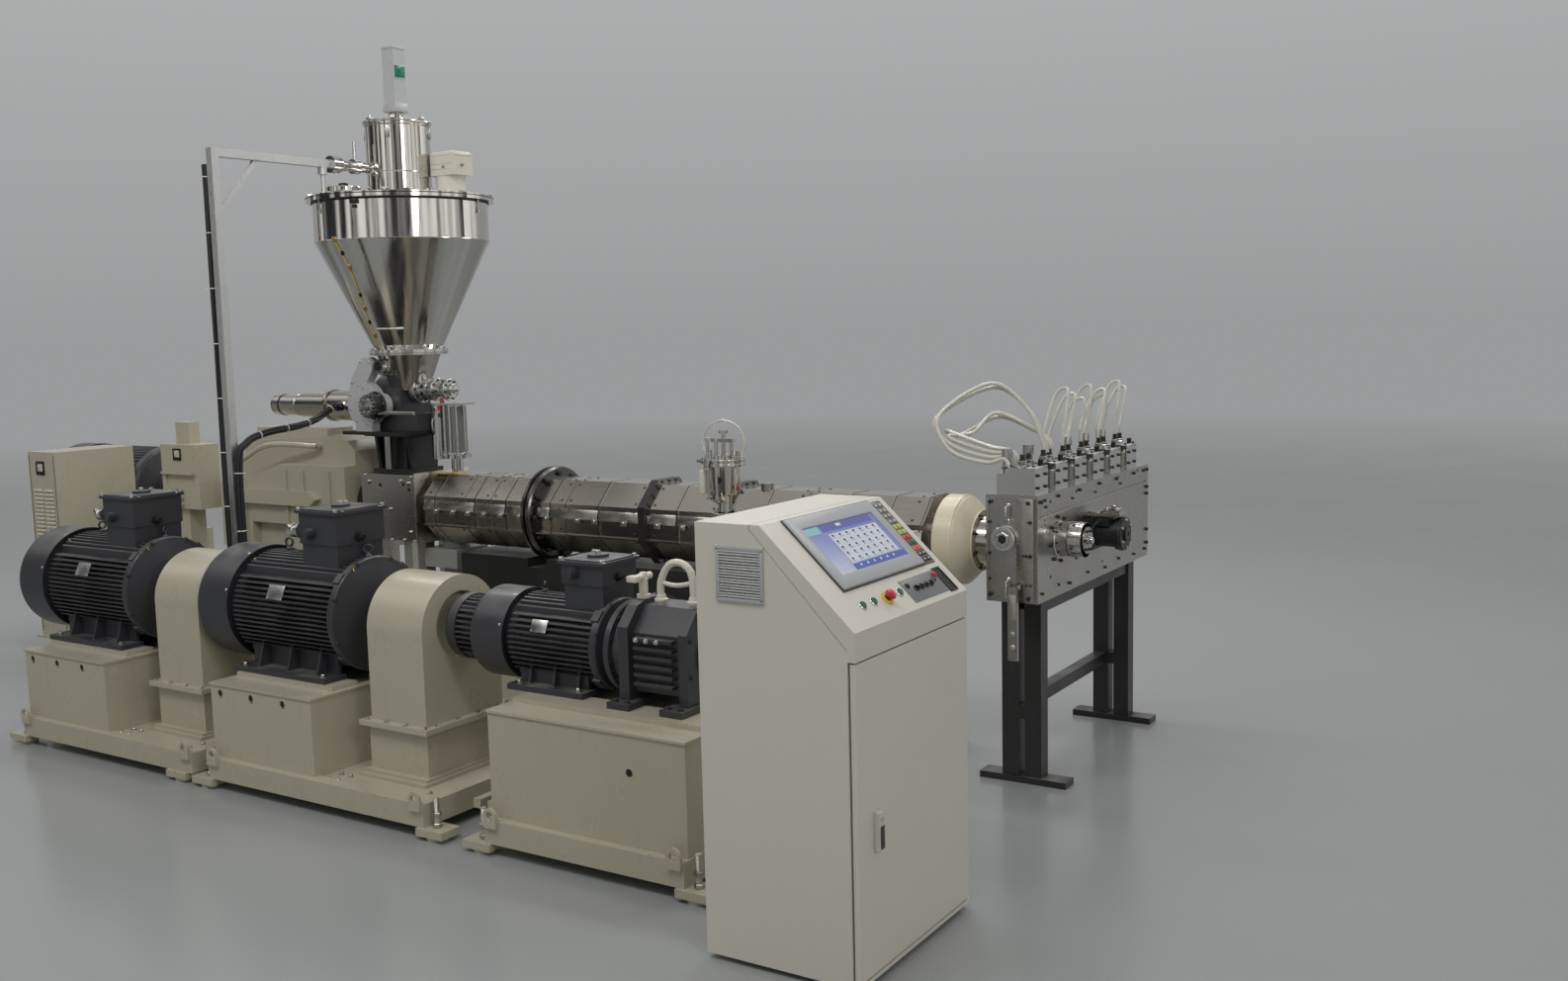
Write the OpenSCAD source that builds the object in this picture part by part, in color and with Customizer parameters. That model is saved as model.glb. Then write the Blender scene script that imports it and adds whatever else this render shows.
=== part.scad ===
// Sheet-extrusion machine: feed hopper, extruder barrel and die head along X,
// a row of three pump drives in front of it and an operator's console.
// The origin is on the floor, under the middle of the whole machine.

/* [Drive row] */
// Y of the shafts of the three drives
row_y = -1000; // [-1100:10:-900]
// Height of the shafts of the three drives
shaft_z = 815; // [780:5:880]
// Distance between the first two drives
unit_pitch = 1550; // [1540:5:1600]
// X where the first full drive's skid starts
unit_x = 190; // [180:5:200]
// Centre height of the two large motors
motor_h = 290; // [280:5:315]
// Centre height of the small motor
small_motor_h = 200; // [190:5:225]

/* [Skids] */
// Length of a large drive's skid
skid_len = 1420; // [1400:5:1450]
// Depth of every skid, front rail to back rail
skid_depth = 940; // [900:10:1000]
// Height of the skid rails
rail_h = 100; // [80:5:120]
// Width of the skid rails
rail_w = 70; // [50:5:90]
// Height of the levelling pads under the rails
pad_h = 50; // [30:5:60]
// Length of the box that carries a large motor
box_len = 700; // [660:10:740]
// Distance of the motor boxes from the outside of the rails
box_inset = 40; // [30:2:60]
// Thickness of the machined plates under the motor feet
seat_t = 20; // [12:2:30]
// Length of the skid of the small motor and its pump
small_skid_len = 1000; // [980:5:1040]
// X where the small motor's skid starts
small_skid_x = 1960; // [1900:5:1990]

/* [Motors] */
// Radius over the fins of a large motor
fin_r = 262; // [240:2:275]
// Radius over the fins of the small motor
small_fin_r = 186; // [170:2:190]
// Length of the finned frame of a large motor
frame_len = 700; // [660:10:740]
// Length of the finned frame of the small motor
small_frame_len = 470; // [440:5:500]
// Thickness of one fin
fin_t = 6; // [4:0.5:8]
// Gap between fins
fin_gap = 17; // [14:0.5:24]
// Length of a large fan cowl
cowl_len = 255; // [220:5:260]
// Length of the small fan cowl
small_cowl_len = 210; // [180:5:240]
// Length of the separate fan motor
fan_motor_len = 195; // [160:5:200]
// Radius over the fins of the separate fan motor
fan_motor_r = 142; // [120:2:150]

/* [Coupling guards] */
// Width of a guard along the shaft
guard_len = 345; // [300:5:360]
// Radius of the guard's round top
guard_r = 238; // [210:2:250]
// Height of the bolted flange of the guard
guard_flange_z = 395; // [360:5:420]
// Radius of the dark opening in the guard's side
guard_hole_r = 150; // [120:5:170]

/* [Extruder] */
// Y of the screw
screw_y = 530; // [500:5:560]
// Height of the screw
screw_z = 1090; // [1060:5:1120]
// X where the feed housing starts
feed_x = -690; // [-700:5:-680]
// Length of the feed housing
feed_len = 450; // [430:5:470]
// Width and height of the feed housing
feed_w = 400; // [380:5:420]
// Width over the flats of the barrel covers
cover_w = 400; // [380:5:430]
// X where the adaptor disc starts, at the end of the barrel
adaptor_x = 3090; // [3060:5:3100]
// Radius of the adaptor disc
adaptor_r = 210; // [200:5:225]
// Radius of the clamp ring on the barrel
clamp_r = 262; // [256:2:280]
// X of the middle of the clamp ring
clamp_x = 640; // [600:5:680]

/* [Base and gearbox] */
// Height of the deck of the extruder's base
base_z = 330; // [300:5:360]
// Width of the extruder's base
base_w = 700; // [660:10:740]
// X where the gearbox starts
gear_x = -1990; // [-2000:5:-1960]
// Height of the gearbox, split line of its casing
gear_split_z = 1325; // [1300:5:1350]
// Radius of the main motor
main_r = 290; // [260:5:300]

/* [Hopper] */
// Radius of the hopper's cylinder
hopper_r = 503; // [480:2:515]
// Height of the hopper's lid
lid_z = 2900; // [2860:5:2940]
// Height where the hopper's cone starts
cone_top_z = 2650; // [2600:5:2700]
// Height of the hopper's bottom flange
cone_z = 2005; // [1990:5:2020]
// Radius of the hopper's outlet
outlet_r = 190; // [180:5:210]
// Wall of the hopper and its lid
hopper_wall = 6; // [5:0.5:8]
// Radius of the vacuum loader on the lid
loader_r = 186; // [170:2:200]
// Height of the top of the vacuum loader
loader_top_z = 3330; // [3290:5:3360]
// Radius of the round hatch in the lid
hatch_r = 115; // [108:1:118]
// Height of the top of the control box on the loader
top_z = 3775; // [3740:5:3800]

/* [Feeder] */
// Height of the platform that carries the feeder
platform_z = 1540; // [1520:5:1560]
// Height of the feeder's drive shaft
feeder_z = 1690; // [1680:2:1700]
// X of the gear case of the feeder
gear_case_x = -860; // [-880:5:-850]

/* [Die head] */
// X where the die block starts
die_x = 3390; // [3370:5:3400]
// Thickness of the die block along X
die_t = 245; // [220:5:260]
// Y where the die block starts
die_y = 280; // [270:5:300]
// Length of the die block along Y
die_len = 1514; // [1500:2:1560]
// Height of the underside of the die block
die_z = 860; // [840:5:880]
// Height of the die block
die_h = 480; // [460:5:500]
// Number of valve blocks on the die
valves = 6; // [5:1:7]

/* [Console] */
// X of the back of the console
console_x = 3300; // [3280:5:3320]
// Depth of the console along X
console_d = 590; // [570:5:610]
// Y of the console's near side
console_y = -1805; // [-1850:5:-1780]
// Width of the console along Y
console_w = 805; // [780:5:820]
// Height of the console
console_h = 1480; // [1450:5:1520]
// Depth of the console's flat top
top_d = 250; // [230:5:270]
// Height where the sloping desk meets the front
desk_z = 1165; // [1140:5:1190]
// Height of the top edge of the door
door_top_z = 1066; // [1040:2:1080]
// Wall of the console
console_wall = 14; // [10:1:18]
// Thickness of the door
door_t = 20; // [18:1:22]
// Gap between the door and the cabinet behind it
door_gap = 8; // [7:0.5:10]

/* [Hidden] */
$fn = 64;

// Colours of the paints and metals
beige = [0.72, 0.69, 0.61];
console_grey = [0.78, 0.77, 0.73];
anthracite = [0.22, 0.22, 0.25];
steel = [0.72, 0.71, 0.69];
polished = [0.80, 0.80, 0.80];
black = [0.08, 0.08, 0.08];
cream = [0.84, 0.82, 0.72];
rubber_black = [0.05, 0.05, 0.05];

// Heights that follow from the pads, rails and shafts
rail_top = pad_h + rail_h;
deck_z = rail_top - 8;
skid_top = shaft_z - motor_h;
small_skid_top = shaft_z - small_motor_h;
box_depth = skid_depth - 2 * box_inset;
box_y0 = row_y - box_depth / 2;
skid_y0 = row_y - skid_depth / 2;
small_cowl_r = small_fin_r + 12;
large_cowl_r = fin_r + 16;

// Places along the shaft of one large drive, from the start of its skid
frame_off = -40;
guard_off = 875;
shield_t = 60;
// Places along the small drive
small_frame_x = small_skid_x - 110;
pump_x = small_frame_x + small_frame_len + shield_t;
pump_len = 440;

// Hopper, feeder and die axes
hopper_x = feed_x + feed_len / 2;
lid_t = 8;
lid_top = lid_z + lid_t;
console_front = console_x + console_d;
door_front = console_front;
body_front = door_front - door_t - door_gap;
hinge_x = door_front - door_t / 2;
hinge_y = console_y + console_w - 12;
pin_r = 5;
pin_gap = 1;
plinth_z = 20;
plinth_t = 14;
door_z0 = plinth_z + plinth_t + 6;

// A box between two corners
module span(a, b) {
    translate(a) cube(b - a);
}

// A cylinder along X from x0, of length l
module rod_x(x0, l, r, y, z) {
    translate([x0, y, z]) rotate([0, 90, 0]) cylinder(h = l, r = r);
}

// A cylinder along Y from y0, of length l
module rod_y(y0, l, r, x, z) {
    translate([x, y0, z]) rotate([-90, 0, 0]) cylinder(h = l, r = r);
}

// A turned part along X: points are [distance along X, radius]
module turned_x(x0, y, z, points) {
    translate([x0, y, z]) rotate([90, 0, 90]) rotate_extrude($fn = 96)
        polygon([for (p = points) [p[1], p[0]]]);
}

// A profile in the plane across X, extruded along X; the profile's x is Y
module along_x(x0, l) {
    translate([x0, 0, 0]) rotate([90, 0, 90]) linear_extrude(height = l) children();
}

// A profile in the plane across Y, extruded along Y; the profile's x is X
module along_y(y0, l) {
    translate([0, y0 + l, 0]) rotate([90, 0, 0]) linear_extrude(height = l) children();
}

// A tube of eight sides swept along a list of points
function unit(v) = v / norm(v);
function leg(p, i) = unit(p[min(i + 1, len(p) - 1)] - p[max(i - 1, 0)]);
function ring(p, i, r, s) = let (t = leg(p, i), a = unit(cross(t, [0.1, 1, 0.05])), b = cross(t, a))
    [for (k = [0 : s - 1]) p[i] + r * (a * cos(360 * k / s) + b * sin(360 * k / s))];
module swept(p, r, s = 8) {
    n = len(p);
    points = [for (i = [0 : n - 1]) each ring(p, i, r, s)];
    walls = [for (i = [0 : n - 2], k = [0 : s - 1])
        [i * s + k, (i + 1) * s + k, (i + 1) * s + (k + 1) % s, i * s + (k + 1) % s]];
    near = [for (k = [0 : s - 1]) k];
    far = [for (k = [0 : s - 1]) n * s - 1 - k];
    polyhedron(points, concat([near], walls, [far]), convexity = 6);
}
// Points of a smooth path through chosen points, four steps a leg
function at(p, i) = p[max(0, min(i, len(p) - 1))];
function bend(p, i, t) = 0.5 * (2 * at(p, i) + (at(p, i + 1) - at(p, i - 1)) * t
    + (2 * at(p, i - 1) - 5 * at(p, i) + 4 * at(p, i + 1) - at(p, i + 2)) * t * t
    + (3 * at(p, i) - at(p, i - 1) - 3 * at(p, i + 1) + at(p, i + 2)) * t * t * t);
function smooth(p, steps = 4) = concat(
    [for (i = [0 : len(p) - 2], s = [0 : steps - 1]) bend(p, i, s / steps)], [p[len(p) - 1]]);

// Levelling pad: plate, rubber foot and screw, under the end of a rail
module pad(x, y) {
    plate_l = 150;
    plate_w = 110;
    translate([x, y, 0]) cylinder(h = 18, r = 48);
    translate([x, y, 0]) cylinder(h = rail_top + 30, r = 12);
    span([x - plate_l / 2, y - plate_w / 2, 18], [x + plate_l / 2, y + plate_w / 2, pad_h]);
}

// Lifting eye welded to the front of a rail
module eye(x, y, z) {
    difference() {
        along_y(y, 14) union() {
            translate([x, z]) circle(r = 34);
            translate([x - 34, z - 50]) square([68, 50]);
        }
        rod_y(y - 1, 16, 18, x, z + 2);
    }
}

// Frame of rails with a deck, on pads whose middles lie at the given distances from its start
module skid_frame(x0, l, pads) {
    for (y = [skid_y0, skid_y0 + skid_depth - rail_w])
        span([x0, y, pad_h], [x0 + l, y + rail_w, rail_top]);
    for (x = [x0, x0 + l - rail_w])
        span([x, skid_y0, pad_h], [x + rail_w, skid_y0 + skid_depth, rail_top]);
    span([x0 + rail_w, skid_y0 + rail_w, pad_h + 10],
        [x0 + l - rail_w, skid_y0 + skid_depth - rail_w, deck_z]);
    for (p = pads, y = [skid_y0 + 40, skid_y0 + skid_depth - 40]) pad(x0 + p, y);
    for (x = [x0 + 6, x0 + l - 74]) eye(x + 34, skid_y0 - 14, rail_top + 20);
}

// Welded box that carries a motor, with its two seat plates
module motor_box(x0, l, top, holes) {
    box_top = top - seat_t;
    difference() {
        span([x0, box_y0, rail_top - 20], [x0 + l, box_y0 + box_depth, box_top]);
        for (h = holes) rod_y(box_y0 - 1, 13, 14, x0 + h[0], h[1]);
    }
    span([x0 - 6, box_y0 - 6, box_top - 10], [x0 + l + 6, box_y0 + box_depth + 6, box_top]);
    for (y = [row_y - 290, row_y + 140])
        span([x0 + 10, y, box_top], [x0 + l - 20, y + 150, top]);
}

// Stepped pedestal under a coupling guard
module guard_pedestal(x0) {
    for (s = [[60, 0, 16], [38, 16, 30]])
        span([x0 - s[0] * 0.6, row_y - guard_r - s[0], deck_z + s[1]],
            [x0 + guard_len + s[0] * 0.6, row_y + guard_r + s[0], deck_z + s[2]]);
    span([x0 - 8, row_y - guard_r - 8, deck_z],
        [x0 + guard_len + 8, row_y + guard_r + 8, guard_flange_z - 24]);
    span([x0 - 40, row_y - guard_r - 40, guard_flange_z - 24],
        [x0 + guard_len + 40, row_y + guard_r + 40, guard_flange_z - 12]);
}

module large_skid(x0, pads) {
    hole_z = skid_top - 75;
    color(beige) {
        skid_frame(x0, skid_len, pads);
        motor_box(x0, box_len, skid_top, [[70, hole_z], [290, hole_z], [510, hole_z]]);
        guard_pedestal(x0 + guard_off);
    }
}
module drive_skid_left() {
    large_skid(unit_x - unit_pitch, [-40, skid_len - 110]);
}
module drive_skid_middle() {
    large_skid(unit_x, [-40, skid_len + 40]);
}
module drive_skid_right() {
    color(beige) {
        skid_frame(small_skid_x, small_skid_len, [-40, small_skid_len + 40]);
        motor_box(small_skid_x + 8, small_skid_len - 16, small_skid_top, [[720, 440]]);
    }
}

// Cross-section of a finned motor frame: level fins at the sides, upright ones above and below
module fin_section(r) {
    core = r * 0.83;
    pitch = fin_t + fin_gap;
    side_n = floor(r * 0.66 / pitch);
    intersection() {
        circle(r = r);
        union() {
            circle(r = core);
            for (i = [-side_n : side_n]) translate([-r, i * pitch - fin_t / 2]) square([2 * r, fin_t]);
            for (i = [-side_n : side_n]) translate([i * pitch - fin_t / 2, -r]) square([fin_t, 2 * r]);
        }
    }
}

// One cast foot of a motor: sole, two upright ribs and a wall
module motor_foot(x0, l, r, h, sole_w, sole_t) {
    out = r + 12;
    difference() {
        union() {
            span([x0, -out, -h], [x0 + l, -out + sole_w, -h + sole_t]);
            for (x = [x0 + l * 0.2, x0 + l * 0.52, x0 + l * 0.84])
                along_x(x, 12) polygon([[-out + 18, -h], [-out + 40, -h + sole_t + 2],
                    [-r * 0.72, -r * 0.42], [-r * 0.4, -r * 0.5], [-r * 0.4, -h]]);
            span([x0 + 20, -out + sole_w - 26, -h], [x0 + l - 20, -out + sole_w - 10, -r * 0.6]);
        }
        for (x = [x0 + 45, x0 + l - 45])
            translate([x, -out + 34, -h - 1]) cylinder(h = sole_t + 2, r = 11);
    }
}

// A finned motor on feet, with its end shield, shaft and the pad for its terminal box
module finned_motor(x0, l, r, h, shaft_l, shaft_r, box_x, box_l, box_w) {
    translate([0, row_y, shaft_z]) {
        along_x(x0 + 12, l - 12) fin_section(r);
        turned_x(x0, 0, 0, [[0, 0], [0, r * 0.84], [14, r * 0.84], [14, 0]]);
        turned_x(x0 + l, 0, 0, [[-22, 0], [-22, r - 6], [-12, r + 8], [14, r + 8], [20, r + 2],
            [24, r - 18], [44, r * 0.62], [shield_t - 6, r * 0.42], [shield_t - 6, r * 0.3],
            [shield_t, r * 0.28], [shield_t, 0]]);
        for (s = [0, 1]) mirror([0, s, 0]) motor_foot(x0 + 10, l - 60, r, h, r * 0.5, 24);
        for (a = [45, 135, 225, 315]) rotate([a, 0, 0])
            span([x0 + l - 24, -26, r - 22], [x0 + l + 14, 26, r + 16]);
        rod_x(x0 + l + shield_t - 10, shaft_l + 10, shaft_r, 0, 0);
        span([box_x, -box_w / 2, r * 0.5], [box_x + box_l, box_w / 2, r + 12]);
    }
}
module large_motor(x0) {
    color(anthracite) finned_motor(x0, frame_len, fin_r, motor_h,
        guard_off - frame_off - frame_len - shield_t, 38, x0 + 390, 240, 270);
}
module motor_left() {
    large_motor(unit_x - unit_pitch + frame_off);
}
module motor_middle() {
    large_motor(unit_x + frame_off);
}
module motor_right() {
    color(anthracite) finned_motor(small_frame_x, small_frame_len, small_fin_r, small_motor_h,
        0, 30, small_frame_x + 265, 205, 200);
}

// Fan cowl: rounded drum with ring slots in its back, open round the fins
module fan_cowl(x1, l, r, fin) {
    translate([x1 - l, row_y, shaft_z]) difference() {
        turned_x(0, 0, 0, [[0, 0], [0, r - 34], [4, r - 20], [12, r - 8], [26, r - 1], [40, r],
            [l - 12, r], [l - 12, r - 5], [l - 40, r - 5], [l - 40, fin * 0.84], [l, fin * 0.84], [l, 0]]);
        for (q = [0.26 : 0.12 : 0.8]) turned_x(-1, 0, 0,
            [[0, q * r], [0, q * r + 9], [11, q * r + 9], [11, q * r]]);
    }
}
module fan_cowl_left() {
    color(anthracite) fan_cowl(unit_x - unit_pitch + frame_off, cowl_len, large_cowl_r, fin_r);
}
module fan_cowl_middle() {
    color(anthracite) fan_cowl(unit_x + frame_off, cowl_len, large_cowl_r, fin_r);
}
module fan_cowl_right() {
    color(anthracite) fan_cowl(small_frame_x, small_cowl_len, small_cowl_r, small_fin_r);
}

// Terminal box: body, overhanging lid with a round cap, and cable glands
module terminal_box(x, w, l, z, h, gland_r) {
    neck = 60;
    translate([x, row_y, z]) {
        along_x(0, l) translate([-w / 2, 0]) square([w, neck]);
        span([-8, -w / 2 - 8, neck - 4], [l + 8, w / 2 + 8, h]);
        span([-20, -w / 2 - 20, h], [l + 20, w / 2 + 20, h + 14]);
        span([-8, -w / 2 - 8, h + 14], [l + 8, w / 2 + 8, h + 20]);
        translate([l / 2, 0, h + 20]) cylinder(h = 12, r = 45);
        rod_y(-w / 2 - 34, 30, gland_r, l * 0.3, neck + 45);
        rod_y(-w / 2 - 44, 14, gland_r * 0.72, l * 0.3, neck + 45);
    }
}
module terminal_box_left() {
    color(anthracite) terminal_box(unit_x - unit_pitch + frame_off + 390, 270, 240,
        shaft_z + fin_r + 12, 200, 27);
}
module terminal_box_middle() {
    color(anthracite) terminal_box(unit_x + frame_off + 390, 270, 240, shaft_z + fin_r + 12, 200, 27);
}
module terminal_box_right() {
    color(anthracite) terminal_box(small_frame_x + 265, 200, 205, shaft_z + small_fin_r + 12, 140, 24);
}

// Small finned motor that drives the third drive's fan
module fan_motor() {
    x1 = small_frame_x - small_cowl_len;
    x0 = x1 - fan_motor_len;
    color(anthracite) translate([0, row_y, shaft_z]) {
        along_x(x0 + 60, fan_motor_len - 80) fin_section(fan_motor_r);
        turned_x(x0, 0, 0, [[0, 0], [0, fan_motor_r - 22], [8, fan_motor_r - 2], [20, fan_motor_r + 4],
            [66, fan_motor_r + 4], [66, 0]]);
        turned_x(x1 - 24, 0, 0, [[0, 0], [0, fan_motor_r + 2], [24, fan_motor_r + 2], [24, 0]]);
    }
}

// Coupling guard: arched cover on a bolted flange, with a round hole towards the next drive
module coupling_guard(x0) {
    wide = guard_r * 2;
    color(beige) difference() {
        union() {
            along_x(x0, guard_len) union() {
                translate([row_y, shaft_z - 15]) circle(r = guard_r, $fn = 128);
                translate([row_y - guard_r, guard_flange_z]) square([wide, shaft_z - 15 - guard_flange_z]);
            }
            span([x0 - 40, row_y - guard_r - 40, guard_flange_z - 12],
                [x0 + guard_len + 40, row_y + guard_r + 40, guard_flange_z]);
        }
        rod_x(x0 + guard_len - 60, 61, guard_hole_r, row_y, shaft_z);
    }
}
module coupling_guard_left() {
    coupling_guard(unit_x - unit_pitch + guard_off);
}
module coupling_guard_middle() {
    coupling_guard(unit_x + guard_off);
}

// Pump on the small motor's flange: lantern, upright end plate and finned body on feet
module vacuum_pump() {
    half = 190;
    floor_z = small_skid_top - shaft_z;
    top = 215;
    color(anthracite) translate([0, row_y, shaft_z]) {
        turned_x(pump_x, 0, 0, [[0, 0], [0, small_fin_r + 4], [26, small_fin_r + 4],
            [30, small_fin_r - 20], [84, small_fin_r - 34], [84, 0]]);
        along_x(pump_x + 80, 50) polygon([[-half, floor_z + 26], [-half, 120], [-half + 70, top - 18],
            [-60, top], [60, top], [half - 70, top - 18], [half, 120], [half, floor_z + 26]]);
        along_x(pump_x + 130, pump_len - 200) polygon([[-half + 36, floor_z + 60], [-half + 36, 96],
            [-70, top - 22], [70, top - 22], [half - 36, 96], [half - 36, floor_z + 60]]);
        for (z = [-110 : 36 : 100])
            span([pump_x + 150, -half + 4, z], [pump_x + pump_len - 100, half - 4, z + 12]);
        along_x(pump_x + pump_len - 70, 40) polygon([[-half + 10, floor_z + 26], [-half + 10, 110],
            [-half + 80, top - 24], [half - 80, top - 24], [half - 10, 110], [half - 10, floor_z + 26]]);
        for (x = [pump_x + 60, pump_x + pump_len - 120])
            span([x, -half - 60, floor_z], [x + 110, half + 60, floor_z + 26]);
        turned_x(pump_x + pump_len - 30, 0, 0, [[0, 0], [0, 100], [22, 96], [30, 80], [30, 0]]);
    }
}

// White suction pipe and handle on the pump
module pump_manifold() {
    z = shaft_z + 193;
    loop = [[pump_x + 190, row_y - 40, z + 10], [pump_x + 190, row_y - 40, z + 90],
        [pump_x + 230, row_y - 40, z + 160], [pump_x + 290, row_y - 40, z + 175],
        [pump_x + 340, row_y - 40, z + 140], [pump_x + 350, row_y - 40, z + 60],
        [pump_x + 350, row_y - 40, z + 10]];
    color([0.85, 0.85, 0.83]) {
        for (x = [pump_x + 190, pump_x + 350]) translate([x, row_y - 40, z]) cylinder(h = 26, r = 19);
        translate([pump_x + 105, row_y - 45, shaft_z + 215]) cylinder(h = 90, r = 16);
        rod_y(row_y - 90, 90, 15, pump_x + 105, shaft_z + 300);
        translate([pump_x + 105, row_y - 45, shaft_z + 215]) cylinder(h = 14, r = 28);
        swept(smooth(loop, 3), 15);
    }
}

// Welded base under the gearbox, barrel and main motor
module extruder_base() {
    y0 = screw_y - base_w / 2;
    x_end = adaptor_x - 100;
    x_start = -(door_front + 22);
    color(beige) {
        span([x_start + 40, y0 + 12, 60], [x_end, y0 + base_w - 12, base_z - 20]);
        span([x_start + 34, y0, 60], [x_end + 6, y0 + base_w, 80]);
        span([x_start + 34, y0, base_z - 20], [x_end + 6, y0 + base_w, base_z]);
        for (x = [x_start + 300 : 620 : x_end - 100])
            span([x, y0 + 2, 79], [x + 14, y0 + base_w - 2, base_z - 19]);
        for (x = [x_start + 90, -2300, -900, 400, 1600, x_end - 60], y = [y0 + 45, y0 + base_w - 45])
            translate([x, y, 0]) cylinder(h = 60, r = 38);
        span([gear_x + 120, screw_y - 210, base_z], [gear_x + 980, screw_y + 210, gear_low - 20]);
        span([gear_x + 60, screw_y - 240, gear_low - 40], [gear_x + 1040, screw_y + 240, gear_low]);
        span([x_start + 120, screw_y - 260, base_z], [-2810, screw_y + 260, screw_z - main_r - 20]);
        span([x_end - 430, screw_y - 130, base_z], [x_end - 330, screw_y + 130, screw_z - cover_w / 2 - 60]);
        span([x_end - 450, screw_y - 170, screw_z - cover_w / 2 - 70],
            [x_end - 310, screw_y + 170, screw_z - cover_w / 2]);
        for (x = [1735, 1815]) {
            span([x, row_y - 300, rail_top - 40], [x + 40, y0 + 20, rail_top]);
            for (y = [row_y - 240, row_y + 200]) span([x, y, 0], [x + 40, y + 60, rail_top - 40]);
        }
    }
}

// Main motor behind the louvred cabinet
module main_motor() {
    x0 = -(door_front + 22);
    color(anthracite) translate([0, screw_y, screw_z]) {
        turned_x(x0, 0, 0, [[0, 0], [0, main_r - 60], [12, main_r - 26], [40, main_r], [240, main_r],
            [240, 0]]);
        along_x(x0 + 240, 760) fin_section(main_r - 8);
        turned_x(x0 + 1000, 0, 0, [[0, 0], [0, main_r], [50, main_r], [60, main_r - 20],
            [90, 150], [130, 140], [130, 60], [gear_x - x0 - 1000, 60], [gear_x - x0 - 1000, 0]]);
        for (y = [-220, 130]) span([x0 + 280, y, -main_r - 20], [x0 + 940, y + 90, -main_r * 0.7]);
        span([x0 + 420, main_r * 0.6, -140], [x0 + 700, main_r + 100, 140]);
    }
}

// Tall louvred cabinet in front of the main motor
module louvred_cabinet() {
    x0 = gear_x - 1060;
    x1 = x0 + 300;
    y1 = screw_y - base_w / 2;
    y0 = y1 - 545;
    z0 = 210;
    z1 = screw_z + 325;
    slot_h = 8;
    color(beige) difference() {
        union() {
            span([x0, y0, z0], [x1, y1, z1]);
            span([x0 - 25, y0 - 25, z0 - 12], [x1 + 25, y1, z0]);
            span([x0 + 30, y0 + 40, 0], [x1 - 30, y1 - 30, z0 - 12]);
        }
        for (x = [x0 + 40, x0 + 160], z = [z0 + 110 : 26 : z1 - 260])
            span([x, y0 - 1, z], [x + 95, y0 + 6, z + slot_h]);
        span([x0 + 95, y0 - 1, z1 - 150], [x0 + 175, y0 + 5, z1 - 60]);
    }
}

// Gauge box: cabinet with a gauge window, a shelf and a valve panel, on a bracket
module gauge_box() {
    x0 = gear_x - 510;
    x1 = x0 + 385;
    y0 = screw_y - 315;
    y1 = y0 + 160;
    z0 = screw_z - 80;
    z1 = z0 + 420;
    color(beige) {
        difference() {
            span([x0, y0, z0], [x1, y1, z1]);
            span([x0 + 135, y0 - 1, z1 - 100], [x0 + 215, y0 + 6, z1 - 30]);
            span([x0 + 40, y0 - 1, z0 + 160], [x0 + 330, y0 + 10, z0 + 225]);
        }
        span([x0 + 20, y0 - 26, z0 + 226], [x0 + 345, y0, z0 + 240]);
        for (z = [z0 + 30, z0 + 75, z0 + 120]) rod_y(y0 - 24, 24, 13, x0 + 200, z);
        span([x0 + 120, y0 + 30, base_z], [x0 + 220, y1 - 10, z0]);
        span([x0 + 60, y0 + 80, z1], [x0 + 200, y1, z1 + 140]);
    }
}

// Gearbox: stepped casing with a ledge, sloping cover and top plates
gear_low = gear_split_z - 545;
ledge_z = gear_split_z - 210;
module gearbox() {
    x1 = feed_x - 115;
    front = screw_y - 250;
    back = screw_y + 250;
    color(beige) difference() {
        union() {
            along_y(front, back - front) polygon([[gear_x, gear_low], [x1 - 60, gear_low],
                [x1, gear_low + 100], [x1, gear_split_z], [gear_x + 600, gear_split_z],
                [gear_x + 150, ledge_z + 80], [gear_x, ledge_z + 80]]);
            along_y(front + 90, back - front - 180) polygon([[gear_x + 30, ledge_z + 75],
                [gear_x + 200, gear_split_z + 130], [gear_x + 900, gear_split_z + 175],
                [x1 - 60, gear_split_z + 150], [x1, gear_split_z + 90], [x1, ledge_z + 75]]);
            along_y(front - 45, back - front + 90) polygon([[gear_x + 290, ledge_z - 40],
                [gear_x + 900, ledge_z - 40], [gear_x + 960, ledge_z + 5], [gear_x + 900, ledge_z + 50],
                [gear_x + 290, ledge_z + 50]]);
            for (x = [gear_x + 640, gear_x + 800, x1 - 150])
                span([x, front - 14, gear_low + 100], [x + 26, front, gear_split_z - 30]);
            span([gear_x + 210, front + 150, gear_split_z + 120],
                [gear_x + 880, back - 150, gear_split_z + 215]);
        }
        span([gear_x + 300, front - 60, gear_low - 80], [gear_x + 640, front + 60, gear_low + 170]);
    }
    color(black) rod_x(x1, feed_x - x1, 165, screw_y, screw_z);
}

// Feed housing: stainless box over the screw, with bolted corners
module feed_housing() {
    h = feed_w / 2;
    color(steel) {
        span([feed_x, screw_y - h - 20, screw_z - h + 10],
            [feed_x + feed_len, screw_y + h + 20, screw_z + h]);
        for (y = [screw_y - h - 32, screw_y + h + 20]) for (x = [feed_x + 60, feed_x + feed_len - 60],
            z = [screw_z - 140, screw_z + 150]) rod_y(y, 12, 13, x, z);
        for (x = [feed_x + 40, feed_x + feed_len - 110], y = [screw_y - 120, screw_y + 50])
            span([x, y, base_z], [x + 70, y + 70, screw_z - h + 10]);
    }
}

// Eight-sided cover of the barrel
module cover_section(x0, l, w) {
    rotate([0, 90, 0]) rotate([0, 0, 22.5])
        translate([0, 0, x0]) cylinder(h = l, r = w / 2 / cos(22.5), $fn = 8);
}
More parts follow.
